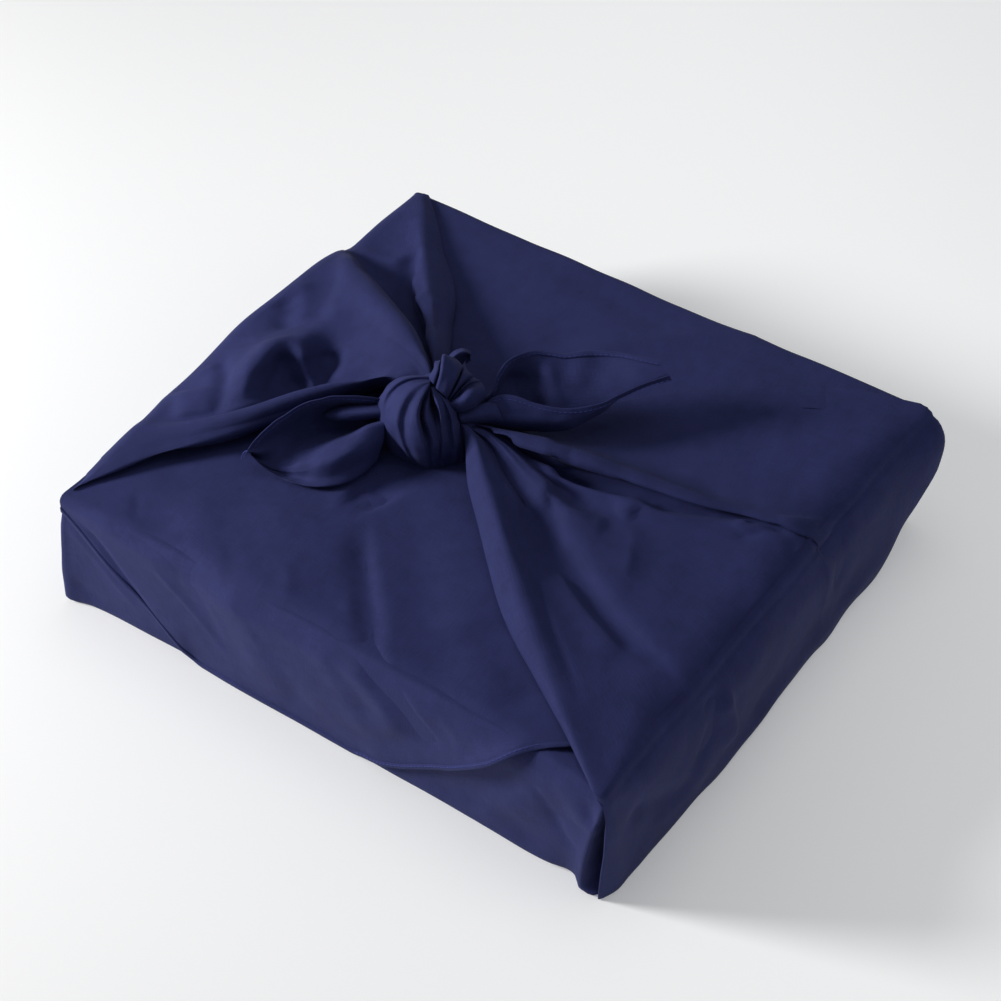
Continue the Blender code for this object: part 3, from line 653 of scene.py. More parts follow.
rightTieFolds = (
    # fold            kind     wide  rise  line
    ("broad",         "soft",   26,  1.6, ((70, -100, 84), (110, -86, 82), (150, -100, 80))),
    ("broad",         "soft",   18, -1.4, ((96, -30, 83), (128, -20, 82), (156, 0, 80))),
    ("side foot",     "soft",    6,  1.2, ((166, 118, 20), (166, 60, 13), (166, 0, 8), (165, -70, 5))),
    ("side low",      "soft",    9, -1.2, ((166, 90, 34), (166, 30, 26), (166, -40, 18))),
    ("side lean",     "soft",   12,  1.5, ((166, -130, 70), (166, -96, 40), (166, -60, 14))),
    ("roll crease",   "sharp", 3.5, -2.2, ((-2, -13, 101), (5, -14, 97), (15, -19, 94), (25, -28, 94),
        (36, -37, 93), (50, -50, 90), (69, -66, 89), (88, -84, 89), (109, -100, 87), (131, -115, 84))),
    ("plateau step",  "step",   20,    3, ((47, -23, 91), (40, -27, 89), (36, -35, 92))),
    ("rib",           "sharp", 2.2,  1.8, ((70, 14, 81), (81, 12, 81), (91, 14, 82))),
    ("lip notch",     "soft",  2.5, -1.2, ((36, 9, 99), (40, 6, 98), (43, 6, 96))),
    ("peak",          "soft",    5,    2, ((73, -2, 84), (76, 1, 84), (82, 2, 84))),
    ("streak",        "sharp",   4,  1.2, ((86, -2, 85), (93, -18, 86), (98, -29, 85), (102, -39, 85))),
    ("press",         "sharp", 2.5,    1, ((85, 1, 84), (96, 7, 83), (108, 11, 83), (120, 15, 82),
        (126, 18, 82))),
    ("press front",   "step",   18,  1.5, ((50, -22, 91), (62, -13, 87), (75, -8, 86))),
    ("pinch",         "soft",  2.8,  2.2, ((128, 23, 82), (127, 27, 81), (127, 31, 82))),
    ("dark curl",     "soft",  2.6, -2.4, ((131, 16, 82), (133, 23, 81), (138, 31, 80), (146, 40, 81))),
    ("mark",          "soft",  2.5, -1.4, ((150, 36, 81), (152, 30, 81), (158, 26, 81))),
    ("arc",           "soft",    4, -1.8, ((152, 43, 82), (160, 44, 82), (167, 47, 74), (171, 48, 64),
        (171, 53, 46), (171, 50, 32))),
    ("thin line",     "sharp", 2.5,  0.9, ((148, 41, 83), (163, 52, 79), (170, 80, 56))),
    ("cone",          "sharp",   3,  1.2, ((157, 77, 83), (166, 74, 76), (171, 85, 53))),
    ("cone",          "sharp",   3,  1.2, ((168, 95, 76), (171, 95, 63), (173, 102, 39))),
    ("far bulge",     "sharp",   4,  1.5, ((169, 145, 79), (174, 132, 72), (175, 127, 59), (175, 125, 48))),
    ("far bulge",     "sharp",   4,  1.5, ((175, 143, 75), (178, 137, 65), (177, 134, 55))),
    ("side line",     "sharp",   4,  1.4, ((171, 81, 54), (171, 64, 40), (170, 57, 25), (170, 34, 23))),
    ("side line",     "sharp",   4,  1.4, ((171, -23, 40), (172, -46, 37), (172, -57, 26), (171, -77, 21),
        (170, -87, 15), (169, -99, 18), (168, -123, 29))),
    ("side crest",    "fold",    8,    3, ((168, -56, 66), (171, -50, 45), (171, -46, 18))),
    ("end hollow",    "soft",    7, -3.2, ((155, 46, 80), (163, 55, 71), (169, 56, 63), (170, 57, 46),
        (171, 51, 32))),
    ("end crest",     "fold",    7,    2, ((139, 36, 82), (145, 45, 83), (153, 53, 80), (162, 61, 73))),
    ("notch lip",     "sharp",   3,  1.6, ((130, 21, 83), (134, 30, 83), (141, 37, 84))),
    ("long swell",    "fold",   10,    3, ((66, -48, 82), (86, -60, 82), (107, -70, 82), (130, -78, 83))),
    ("long valley",   "soft",    5,   -2, ((63, -39, 82), (88, -53, 82), (110, -62, 82), (133, -70, 83),
        (155, -74, 80))),
    ("low trough",    "soft",    7,   -3, ((168, -137, 55), (169, -117, 44), (170, -92, 27), (172, -76, 29))),
    ("side dark",     "soft",    6, -3.8, ((168, -61, 74), (170, -64, 61), (170, -68, 44), (171, -77, 36),
        (171, -86, 27))),
)

leftTie = dict(
    side=-1, spacing=2.25, nip=3.2, runSteps=84, sideSteps=30, gather=(-40, 0, 16), drawnIn=0.62,
    ruffle=(30, 0.35, 22),
    folds=(
        ("tucked in", ((-78, 9, 5), (-93, -4, 2.5), (-105, -20, 1.2), (-115, -40, 0.9), (-127, -61, 0.8),
            (-141, -79, 0.8), (-156, -101, 0.8)), ((-165, -106, 68), (-165, -106, 40), (-164.6, -106, 10),
            (-164, -104, 0.6))),
        ("under roll", ((-72, 4, 8), (-86, -9, 3.5), (-98, -25, 1.6), (-109, -45, 1.2), (-120, -66, 1.2),
            (-135, -84, 1.2), (-148, -106, 1), (-158, -126, 0.9), (-161, -136, 0.6)), ((-164.6, -139, 70),
            (-165.4, -125, 40), (-165, -123, 10), (-164, -121, 0.6))),
        ("roll edge", ((-67, 0, 15), (-82, -13, 13), (-94, -29, 11.5), (-104, -49, 10), (-116, -69, 8.8),
            (-130, -88, 7.6), (-145, -110, 5), (-157, -131, 2), (-161.5, -141, 1)), ((-165.6, -146, 72),
            (-166.2, -143, 40), (-165.4, -139, 10), (-164.2, -137, 0.6))),
        ("roll face", ((-65.6, -2, 20), (-79.4, -14.4, 18), (-91.4, -28.6, 16), (-103.2, -46.6, 14),
            (-115.4, -65.6, 12.3), (-129.6, -82.4, 10.2), (-145, -100, 7.8), (-159, -122, 4.2)),
            ((-166.6, -128, 70), (-167, -123, 40), (-166, -121, 10), (-164.6, -119, 0.6))),
        ("roll top", ((-65, -3, 24), (-78, -13, 22), (-91, -26, 20), (-104, -42, 17.5), (-117, -59, 15),
            (-131, -74, 12), (-145, -86, 10.5), (-158.6, -93, 9)), ((-167, -100, 66), (-167.4, -104, 40),
            (-166.2, -106, 10), (-164.8, -106, 0.6))),
        ("behind roll", ((-68, -2, 22), (-84, -11, 13), (-100, -22, 7), (-116, -45, 6), (-129, -65, 8.5),
            (-142, -74, 9.5), (-158, -82, 9.2)), ((-167, -90, 66), (-167, -95, 40), (-165.8, -99, 10),
            (-164.4, -100, 0.6))),
        ("hood front", ((-66, 0, 23), (-82, -8, 13), (-98, -18, 5), (-111, -35, 3.4), (-125, -53, 14),
            (-142, -60, 13.5), (-158, -66, 12)), ((-168.4, -72, 66), (-169, -78, 40), (-166.8, -82, 10),
            (-164.8, -84, 0.6))),
        ("hood", ((-64, 2, 24), (-80, -4, 15), (-96, -14, 5.5), (-111, -24, 2.5), (-122, -34, 9),
            (-130, -38, 21), (-144, -41, 17.5), (-158, -44, 14)), ((-169, -50, 65), (-169.4, -57, 40),
            (-167, -62, 10), (-165, -64, 0.6))),
        ("hood crest", ((-62, 4, 25), (-79, 1, 17.5), (-95, -7, 9.5), (-110, -11, 6), (-123, -17, 13),
            (-131, -20, 25), (-144, -20, 19.5), (-158, -20, 17)), ((-169.6, -26, 65), (-169.6, -34, 40),
            (-167, -40, 10), (-165, -42, 0.6))),
        ("hood back", ((-60, 6, 26), (-80, 7, 20), (-99, 4, 14.5), (-112, 1, 12), (-124, -4, 21.5),
            (-142, -1, 18.5), (-158, 3, 19.5)), ((-169, 0, 65), (-168.6, -8, 40), (-166.6, -16, 10),
            (-164.8, -18, 0.6))),
        ("broad face", ((-58, 8, 27), (-84, 13, 22.2), (-106, 14, 18.5), (-122, 15, 18.5), (-138, 20, 17),
            (-158, 27, 18)), ((-168, 26, 65), (-167.4, 20, 40), (-166, 12, 10), (-164.6, 10, 0.6))),
        ("second ridge", ((-55, 9, 28), (-86, 20, 25), (-110, 28, 22), (-128, 34, 19.5), (-142, 48, 17),
            (-158, 60, 14)), ((-168, 58, 65), (-168.4, 54, 40), (-166.6, 50, 10), (-164.8, 50, 0.6))),
        ("third ridge", ((-51, 11, 29), (-79, 27, 28.5), (-112, 44, 23), (-140, 62, 15.5), (-158, 75, 10.5)),
            ((-167.4, 76, 65), (-168, 76, 40), (-166.2, 76, 10), (-164.6, 76, 0.6))),
        ("ridge back", ((-53, 14, 24), (-76, 32, 18), (-108, 50, 11), (-136, 69, 8), (-158, 80, 7)),
            ((-166, 82, 66), (-166, 84, 40), (-165.4, 84, 10), (-164.4, 84, 0.6))),
        ("back valley", ((-56, 20, 18), (-68, 36, 9), (-98, 57, 4), (-124, 74, 2.6), (-142, 82, 3),
            (-158, 88, 4)), ((-165.4, 92, 66), (-165.2, 94, 40), (-165, 95, 10), (-164.2, 95, 0.6))),
        ("valley back", ((-58, 24, 16), (-70, 42, 9), (-98, 66, 5), (-126, 92, 3.6), (-144, 104, 4),
            (-158, 114, 4)), ((-166, 116, 66), (-166.6, 116, 40), (-165.6, 116, 10), (-164.6, 115, 0.6))),
        ("back ridge", ((-56, 22, 26), (-76, 48, 20.5), (-96, 70, 15.5), (-128, 107, 9), (-157, 139, 4)),
            ((-166.4, 139, 68), (-168, 138, 40), (-166.6, 134, 10), (-165, 130, 0.6))),
        ("ridge side", ((-54, 25, 21), (-66, 43, 15), (-83, 71, 9.5), (-98, 91, 6.5), (-121, 113, 3.8),
            (-157, 145, 2)), ((-163, 148.6, 70), (-167, 151, 44), (-165, 149, 12), (-162, 146, 0.6))),
        ("ridge foot", ((-55, 27, 15), (-66, 46, 7), (-84, 74, 2.2), (-99, 94, 1.4), (-122, 116, 1.1),
            (-155, 146, 1)), ((-154, 150.6, 72), (-152, 151.4, 46), (-146, 151, 14), (-142, 150, 0.6))),
        ("under ridge", ((-57, 30, 9), (-72, 50, 3), (-92, 77, 1.2), (-110, 97, 0.8), (-132, 117, 0.7),
            (-150, 136, 0.6)), ((-146, 149.3, 74), (-138, 149.5, 50), (-124, 149.5, 22), (-112, 149.2, 0.8))),
    ),
)

leftTieFolds = (
    # fold            kind     wide  rise  line
    ("neck",          "sharp",   4,  1.2, ((-64, 0, 106), (-80, 3, 103), (-96, -2, 98))),
    ("taut edge",     "fold",   12,    3, ((-161, 80, 90), (-142, 61, 97), (-118, 49, 100), (-89, 32, 106),
        (-70, 21, 109), (-56, 13, 108))),
    ("taut valley",   "soft",    7, -2.5, ((-151, 80, 87), (-128, 68, 87), (-100, 49, 90), (-78, 34, 98))),
    ("deep slit",     "soft",  4.5, -3.5, ((-129, 103, 91), (-125, 90, 85), (-115, 72, 83), (-98, 54, 84))),
    ("cross fold",    "fold",    7,  2.2, ((-131, 105, 90), (-131, 95, 86), (-136, 89, 85), (-149, 86, 85),
        (-160, 82, 87))),
    ("back crest",    "sharp",   3,    2, ((-156, 137, 87), (-137, 114, 91), (-117, 91, 94), (-98, 70, 96),
        (-87, 57, 89), (-61, 28, 105))),
    ("back dent",     "soft",    3, -1.2, ((-86, 68, 94), (-77, 55, 96), (-66, 39, 102))),
    ("peak ridge",    "step",   25,    2, ((-125, 1, 99), (-127, 13, 99), (-130, 25, 100), (-135, 39, 100),
        (-146, 56, 97), (-161, 72, 92))),
    ("small fold",    "soft",    7,    2, ((-160, 38, 97), (-151, 31, 97), (-144, 20, 97), (-139, 8, 97))),
    ("small dent",    "soft",    6, -2.6, ((-157, 24, 97), (-148, 18, 97), (-143, 8, 98), (-136, 2, 99))),
    ("pit left",      "soft",    5, -3.2, ((-126, -12, 98), (-124, -19, 94), (-118, -20, 88),
        (-108, -20, 85))),
    ("pit right",     "soft",    5,   -3, ((-112, 5, 94), (-108, -1, 90), (-107, -8, 88), (-105, -15, 87))),
    ("pit tongue",    "fold",    5,  4.6, ((-124, -6, 101), (-119, -10, 95), (-114, -13, 90), (-107, -17, 87),
        (-100, -21, 88))),
    ("left valley",   "soft",    4, -2.6, ((-157, -30, 96), (-147, -38, 97), (-139, -48, 96), (-134, -58, 94),
        (-131, -70, 92))),
    ("hood crest",    "sharp", 3.5,  2.2, ((-120, -59, 94), (-128, -46, 97), (-132, -35, 100),
        (-134, -24, 101), (-132, -14, 102), (-128, -8, 101), (-122, -7, 97), (-116, -9, 92),
        (-109, -13, 89), (-92, -28, 100))),
    ("pit slit",      "soft",  2.6,   -3, ((-119, -24, 91), (-113, -20, 87), (-93, -30, 100))),
    ("left upright",  "fold",   16,  2.5, ((-142, -75, 91), (-149, -67, 92), (-156, -58, 93))),
    ("hump",          "sharp",   3,    1, ((-158, -47, 94), (-155, -39, 95), (-151, -34, 96))),
    ("roll hollow",   "soft",  3.5, -1.5, ((-92, -8, 93), (-87, -4, 96), (-80, -3, 98), (-72, -7, 102))),
    ("pit ridge",     "sharp", 3.5,  1.6, ((-104, -10, 88), (-98, -6, 91), (-94, -2, 96), (-87, 1, 99))),
    ("small arch",    "sharp",   2,  1.2, ((-62, -2, 103), (-61, 2, 105), (-58, 5, 106), (-55, 3, 105))),
    ("roll crest",    "fold",   10,    2, ((-157, -92, 89), (-139, -81, 91), (-125, -66, 93),
        (-110, -48, 96), (-91, -26, 100), (-70, -6, 103))),
)


# A tie can't sink into the flap that it lies on: its least height over the top, and how softly that holds
tieRest = dict(above=0.7, soft=1.4)


def dressTie(bolt, tie, creases):
    # Lays a tie from the knot over the top, round the end's edge and down to the foot.
    side, nip = tie["side"], tie["nip"]
    edge, tall = parcel["halfLong"], parcel["tall"]
    lines = []
    for _, run, down in tie["folds"]:
        gathered = np.array(run[0]) * (1 - tie["drawnIn"]) + np.array(tie["gather"]) * tie["drawnIn"]
        top = [(x, y, tall + rise) for x, y, rise in (gathered,) + run]
        x, y, z = top[-1]
        first = np.array(down[0], float)
        corner = [(side * (edge - nip), y * 0.8 + first[1] * 0.2, z - 0.375 * nip),
                  (side * edge, y * 0.5 + first[1] * 0.5, z - 1.44 * nip)]
        if abs(first[1]) > parcel["halfDeep"]:
            corner = [tuple(np.array(top[-1]) * 0.4 + first * 0.6 + (side * 0.5, 0, 1.6))]
        upper = evenLine(top, tie["runSteps"])
        lower = evenLine([top[-1]] + corner + [tuple(p) for p in down], tie["sideSteps"])
        foot = np.array(down[-1], float)
        inward = np.array([0, -1.0, 0]) * np.sign(foot[1]) if abs(foot[1]) > 147 else np.array([-side, 0, 0])
        under = np.array([foot + inward * reach + (0, 0, -0.5) for reach in (2, 8, 16)])
        under[:, 2] = 0.12
        lines.append(np.concatenate([upper, lower[1:], under]))
    grid = loftLines(np.array(lines), tie["spacing"])
    top = grid[..., 2] > tall
    grid = pressFolds(grid, creases)
    rest, soft = tall + tieRest["above"], tieRest["soft"]
    eased = rest + soft * np.logaddexp(0, (grid[..., 2] - rest) / soft)
    grid[..., 2] = np.where(top, eased, grid[..., 2])
    grid = ruffle(grid, *tie["ruffle"])
    if side > 0:
        grid = softenRightEdge(grid)
    grid = fillOut(grid)
    grid[..., 2] = np.maximum(grid[..., 2], 0.1)
    bolt.add(grid)


knotFace = (0.414, -0.566, 0.712)   # the way that the knot's full side looks
knotMiddle = (-36, 0, 96)
knotRuffle = (9, 0.22)

# The cloth of the knot, over lines that run down its pleats and the grooves between them
knotWraps = (
    dict(name="front wrap", steps=56, spacing=0.75, lines=(
        ("left rim foot", (-41.2, -1, 114.7), (-49.5, -5.1, 114.9), (-57.3, -10.2, 111.2),
            (-60.6, -17.3, 104.6), (-59.6, -23.3, 97.8), (-53.8, -27.3, 90), (-46.4, -28.7, 78.9),
            (-36.8, -25.1, 67.7)),
        ("left rim", (-40, -2.4, 117.1), (-47.5, -7.6, 117.4), (-53.4, -12.4, 115.6), (-56.4, -18.9, 110.7),
            (-55.8, -24.7, 104.4), (-51.4, -29.1, 95.5), (-44.2, -30.2, 83.4), (-35.7, -25.6, 69.5)),
        ("rim edge", (-38.3, -4.6, 118.6), (-44.8, -10.2, 119.4), (-49.3, -15.1, 118), (-52.8, -20.9, 113.4),
            (-52.5, -26.4, 107.4), (-48.3, -30.4, 99), (-40.9, -31, 86.5), (-33.7, -25.5, 71.2)),
        ("rim groove", (-38, -5, 117.8), (-44.2, -10.1, 118), (-48.4, -14.9, 116.3), (-51, -21, 112.2),
            (-50.2, -26.9, 107.5), (-45.9, -31, 100.1), (-38.9, -31, 87.8), (-32.8, -25, 71.4)),
        ("lobe edge", (-37.1, -6.2, 118), (-42, -12.2, 118.9), (-44.9, -17.6, 117.7), (-46.8, -23.7, 113.9),
            (-46.6, -28.5, 108.7), (-43.1, -32, 101.7), (-36.6, -31.4, 89.3), (-31.6, -24.9, 71.9)),
        ("lobe crest", (-36, -7.7, 119), (-38, -14.1, 120.7), (-39.1, -21, 120), (-39.2, -27.7, 116.2),
            (-38.5, -32.4, 110.6), (-36, -34.5, 103.3), (-33.2, -32.5, 90.6), (-30.1, -25.2, 72.2)),
        ("dent", (-35.5, -8.3, 119), (-36, -14.3, 120.2), (-36.4, -20.5, 118.9), (-36.7, -26.1, 114.9),
            (-35.7, -30.3, 109.8), (-33.4, -33.1, 102.2), (-31.3, -31.6, 90.3), (-29.3, -24.6, 72.2)),
        ("second crest", (-35.1, -8.8, 119), (-33.9, -14.9, 120.5), (-32.6, -22.2, 119.6),
            (-31.2, -27.9, 116.5), (-29.9, -31.6, 111.2), (-27.3, -33.6, 103.2), (-26.7, -31.8, 90.9),
            (-27.4, -24.5, 72.5)),
        ("slit lip", (-34.9, -9.1, 118.6), (-33, -14.9, 119.9), (-31, -21.9, 118.8), (-28.8, -27.5, 115.4),
            (-25.4, -30.7, 110.2), (-22.4, -31.9, 103.1), (-22.4, -30.1, 91.2), (-25.5, -24.5, 72.8)),
        ("slit", (-35.5, -8.2, 116.9), (-34.9, -12.2, 115.5), (-33.9, -17.2, 112.3), (-31.8, -21.9, 108.1),
            (-27.2, -25.7, 104.5), (-22.1, -28.6, 99.9), (-21.8, -27.9, 89.1), (-25.1, -23.3, 72.1)),
        ("inner pleat", (-34.7, -9, 117.3), (-32.2, -13.8, 116.1), (-29.5, -19.5, 115.1),
            (-26.4, -24.3, 112.9), (-22, -27.4, 108.7), (-18.7, -28.8, 102.7), (-19.7, -27.7, 90.8),
            (-23.8, -22.5, 72.1)),
        ("pleat side", (-34.9, -8.6, 116.9), (-32.2, -13, 114.8), (-28.9, -17.2, 112.2),
            (-24.7, -21.7, 110.4), (-20.7, -25, 106.9), (-18, -26.6, 100.6), (-19, -25.9, 89.7),
            (-23, -21, 71.4)),
        ("hole", (-35.5, -7.7, 115.9), (-35.2, -8.8, 110.7), (-32.6, -10.4, 107.1), (-28.1, -13.9, 106),
            (-21.9, -20.6, 106.9), (-18.2, -24.1, 102.7), (-18.4, -24.1, 90.1), (-21.8, -20.1, 71.4)),
        ("curl edge", (-34, -9.3, 117.9), (-29.5, -13.7, 118.2), (-24.6, -16.9, 117), (-21.3, -19.3, 114.5),
            (-18.7, -21.7, 110.2), (-16.1, -24.3, 103.3), (-16.7, -24.3, 90.4), (-20.7, -19.4, 71.4)),
        ("behind curl", (-33.9, -9.1, 117.8), (-29.2, -12.2, 117.8), (-24.2, -14.5, 115.4),
            (-20.5, -16.7, 111.5), (-17.9, -19.7, 106.3), (-15.3, -22.2, 100), (-16.2, -21.7, 87.9),
            (-20, -17.8, 70.8)),
        ("right groove", (-34, -8.5, 117.2), (-29.1, -10.3, 116.4), (-24.2, -12, 113.5),
            (-20.9, -14.2, 108.7), (-17.9, -17.3, 103), (-15.1, -19.3, 96.5), (-15.4, -19, 85.4),
            (-19.1, -16, 70.3)),
        ("right pleat", (-33.8, -8.1, 117.4), (-27.9, -9.9, 116.4), (-22.6, -12.1, 114.1),
            (-18, -14.7, 109.9), (-14.8, -17.6, 104.3), (-12.4, -19.1, 97.1), (-13.6, -17.7, 85.4),
            (-18.5, -14.3, 69.9)),
        ("right side", (-34.6, -6.7, 116.2), (-28.3, -7.7, 114.5), (-22.7, -9.5, 111.3),
            (-18.2, -11.7, 106.9), (-14.6, -14.3, 101.1), (-12.1, -15.8, 93.9), (-13.2, -14.8, 83.3),
            (-17.9, -12.5, 69.5)),
        ("right edge", (-35.1, -5.7, 115.9), (-28.1, -6.4, 113.3), (-22.5, -7.7, 109.7), (-18.2, -9.2, 104.6),
            (-14.6, -11.3, 98.1), (-11.9, -13.3, 90.7), (-13.1, -12.5, 80.8), (-17.3, -10.8, 69.2)),
        ("right foot", (-37.9, -2.2, 111.9), (-30.9, -1.6, 108.2), (-25.7, -2.4, 103.2), (-21.7, -3.9, 98.2),
            (-17.6, -5.9, 91.5), (-14.8, -7.9, 84), (-14.4, -9.1, 77.3), (-18.3, -8.5, 67.4)),
    )),
    dict(name="back wrap", steps=40, spacing=0.75, lines=(
        ("behind ribbon", (-27.8, -5.7, 108.8), (-28.9, 1.1, 112), (-30.7, 8.7, 115), (-32.9, 16.1, 115.1),
            (-34.3, 20.6, 113.9)),
        ("ribbon groove", (-26.6, -6.9, 110), (-27, -0.7, 113), (-27.6, 5, 115.9), (-29.2, 10.7, 117),
            (-31.7, 17, 113.7)),
        ("small fold", (-25.4, -8, 111.2), (-24, -3.8, 115.9), (-23.4, 0.8, 119.9), (-25, 5.9, 120.6),
            (-26.8, 12.1, 116.8)),
        ("fold face", (-25.2, -8.1, 111), (-23.4, -3.3, 115.2), (-22.7, 2.2, 118.5), (-23.3, 7.4, 118.7),
            (-25, 13.4, 114)),
        ("fold groove", (-25.4, -7.6, 110.1), (-24.5, -1.1, 112.2), (-23.7, 4.3, 114.7), (-23.3, 9.3, 114.6),
            (-24.8, 15.9, 110.2)),
        ("thin pleat", (-24.2, -8.8, 111.3), (-22.2, -3.7, 115.1), (-20.9, 1.1, 117.5), (-20.1, 5.8, 117.3),
            (-20.7, 13.9, 111.8)),
        ("thin groove", (-24.4, -8.2, 110.5), (-22.7, -2.4, 112.7), (-21.4, 2.4, 114.9), (-20.1, 7.1, 114.8),
            (-19.9, 14.5, 110.4)),
        ("lobe top", (-23.5, -9.2, 111.3), (-20, -4.9, 114.7), (-17.8, -0.7, 117.5), (-16.3, 4.1, 117),
            (-16, 10.9, 112.4)),
        ("lobe", (-23.2, -9.3, 111), (-18.3, -7, 114.2), (-15, -3.2, 116.7), (-13.6, 1.6, 116.2),
            (-13.7, 8.5, 111.9)),
        ("lobe low", (-23, -9.2, 110.3), (-17.6, -7.6, 111.2), (-14, -3.9, 112.7), (-12.8, 1.2, 112.6),
            (-13.3, 8.7, 109)),
        ("lobe bottom", (-23.5, -8.2, 108.5), (-18.4, -6.3, 107.1), (-14.7, -2.4, 107.4), (-13.5, 2.9, 107.4),
            (-14.3, 10, 105)),
        ("lobe foot", (-26, -4.1, 103.4), (-21.4, -2, 101.1), (-17.6, 2.3, 100.8), (-16.1, 7.2, 101),
            (-16.4, 12.8, 100)),
    )),
    dict(name="top ribbon", steps=36, spacing=0.75, lines=(
        ("facet foot", (-41.6, -2.2, 114), (-41.3, -1.6, 115.8), (-41.8, 2.6, 117.9), (-43.3, 6, 118.7),
            (-46.1, 10.8, 115.8)),
        ("facet edge", (-37.7, -6.2, 118.4), (-36.8, -5.6, 121.1), (-37, -2.2, 122.6), (-39, 0.8, 123.3),
            (-42.3, 6.4, 119.9)),
        ("facet", (-34.3, -7.4, 118.3), (-33.6, -6.1, 121.7), (-34.5, -2.7, 124.2), (-36.4, 0.8, 124.6),
            (-40, 6.7, 121.6)),
        ("ribbon hole", (-33.6, -6.4, 115.9), (-34, -3.1, 119.4), (-35.3, 0.4, 122.2), (-38.7, 5.8, 121.5),
            (-41.6, 10.8, 118.7)),
        ("bright edge", (-30.7, -9.3, 118.2), (-30.2, -6.8, 124.1), (-31.5, -2.9, 127.9), (-34.2, 2, 129.9),
            (-38.2, 8.3, 124.6)),
        ("ribbon face", (-28.7, -9.1, 117.1), (-28.1, -5.9, 123.1), (-29.1, -1.4, 126.7), (-31.5, 4, 127.8),
            (-35.3, 10.2, 123)),
        ("ribbon right", (-26.6, -8.7, 115.5), (-26, -5, 121.2), (-26.8, 0.1, 124.1), (-28.8, 5.8, 124.9),
            (-32.4, 12.1, 120.1)),
        ("ribbon side", (-25.6, -8, 113.4), (-24.8, -3.8, 118.5), (-25.5, 1.5, 121), (-27.6, 7, 121.6),
            (-31.5, 13.8, 116.6)),
        ("ribbon back", (-28.5, -4, 107.8), (-27.6, 0.2, 112), (-28.3, 5.9, 114.2), (-30.1, 11.4, 115.3),
            (-32.8, 16.7, 112.7)),
    )),
    dict(name="rear ear", steps=40, spacing=0.8, lines=(
        ("ear foot", (-44.1, 17.3, 111.3), (-44.5, 20.6, 112.8), (-44.2, 24.5, 112.9), (-43, 28.1, 112.2),
            (-41.2, 30.8, 110.5), (-40.2, 32.8, 107.4)),
        ("ear top", (-42.5, 16.1, 112.3), (-42.6, 18.8, 113.7), (-41.8, 22.1, 114.5), (-40.6, 25.7, 113.8),
            (-39.5, 28.5, 112), (-39.1, 31.3, 108.4)),
        ("ear crest", (-40.4, 14.2, 113.8), (-40, 16.3, 115.2), (-39.2, 19.6, 115.9), (-38.4, 23.1, 115.4),
            (-37.4, 26.1, 113.7), (-37.6, 29.2, 110)),
        ("ear edge", (-40, 14.4, 112.2), (-39.8, 16.7, 113.3), (-39.1, 20.2, 114.2), (-38.2, 23.3, 114.1),
            (-37.3, 26, 112.9), (-37.4, 28.9, 109.6)),
        ("ear inside", (-41.2, 15.8, 108.4), (-41.7, 19.1, 108.5), (-41.3, 23, 108.6), (-40.4, 26.1, 108.5),
            (-39.6, 28.5, 107.8), (-39, 30.1, 105.9)),
        ("ear deep", (-43.8, 15.8, 104.3), (-43.1, 19.9, 103), (-42.4, 24.1, 101.7), (-40.9, 27.4, 102.1),
            (-39.9, 30.4, 102.4), (-39.9, 32.2, 102.5)),
    )),
)

# What the wraps go round
knotLobes = (
    dict(name="heart", line=((-60, -14, 88), (-35, -8, 97), (-8, -2, 90)), wide=16, deep=9, taper=0.5),
    dict(name="crown", line=((-48, -6, 104), (-36, 0, 108), (-22, 4, 104)), wide=9, deep=9, taper=0.5),
)


def unit(v):
    v = np.asarray(v, float)
    return v / np.linalg.norm(v)


def gatherLobe(bolt, lobe, rings=30, sides=60):
    # A round of gathered cloth, widest half way along its line.
    spine = evenLine(lobe["line"], rings)
    grid = []
    angle = np.linspace(0, 2 * np.pi, sides)
    for k, place in enumerate(spine):
        share = k / (rings - 1)
        axis = unit(spine[min(k + 1, rings - 1)] - spine[max(k - 1, 0)])
        deepWay = unit(np.array(knotFace) - axis * axis.dot(knotFace))
        wideWay = np.cross(axis, deepWay)
        swell = math.sin(math.pi * min(max(share, 0.004), 0.996)) ** lobe["taper"]
        wide = lobe["wide"] * swell * np.cos(angle)
        deep = lobe["deep"] * swell * np.sin(angle)
        grid.append(place + wide[:, None] * wideWay + deep[:, None] * deepWay)
    bolt.add(np.array(grid), knotMiddle)


def wrapKnot(bolt, wrap, seed):
    lines = [evenLine(row[1:], wrap["steps"]) for row in wrap["lines"]]
    bolt.add(ruffle(loftLines(lines, wrap["spacing"]), *knotRuffle, seed), knotMiddle)


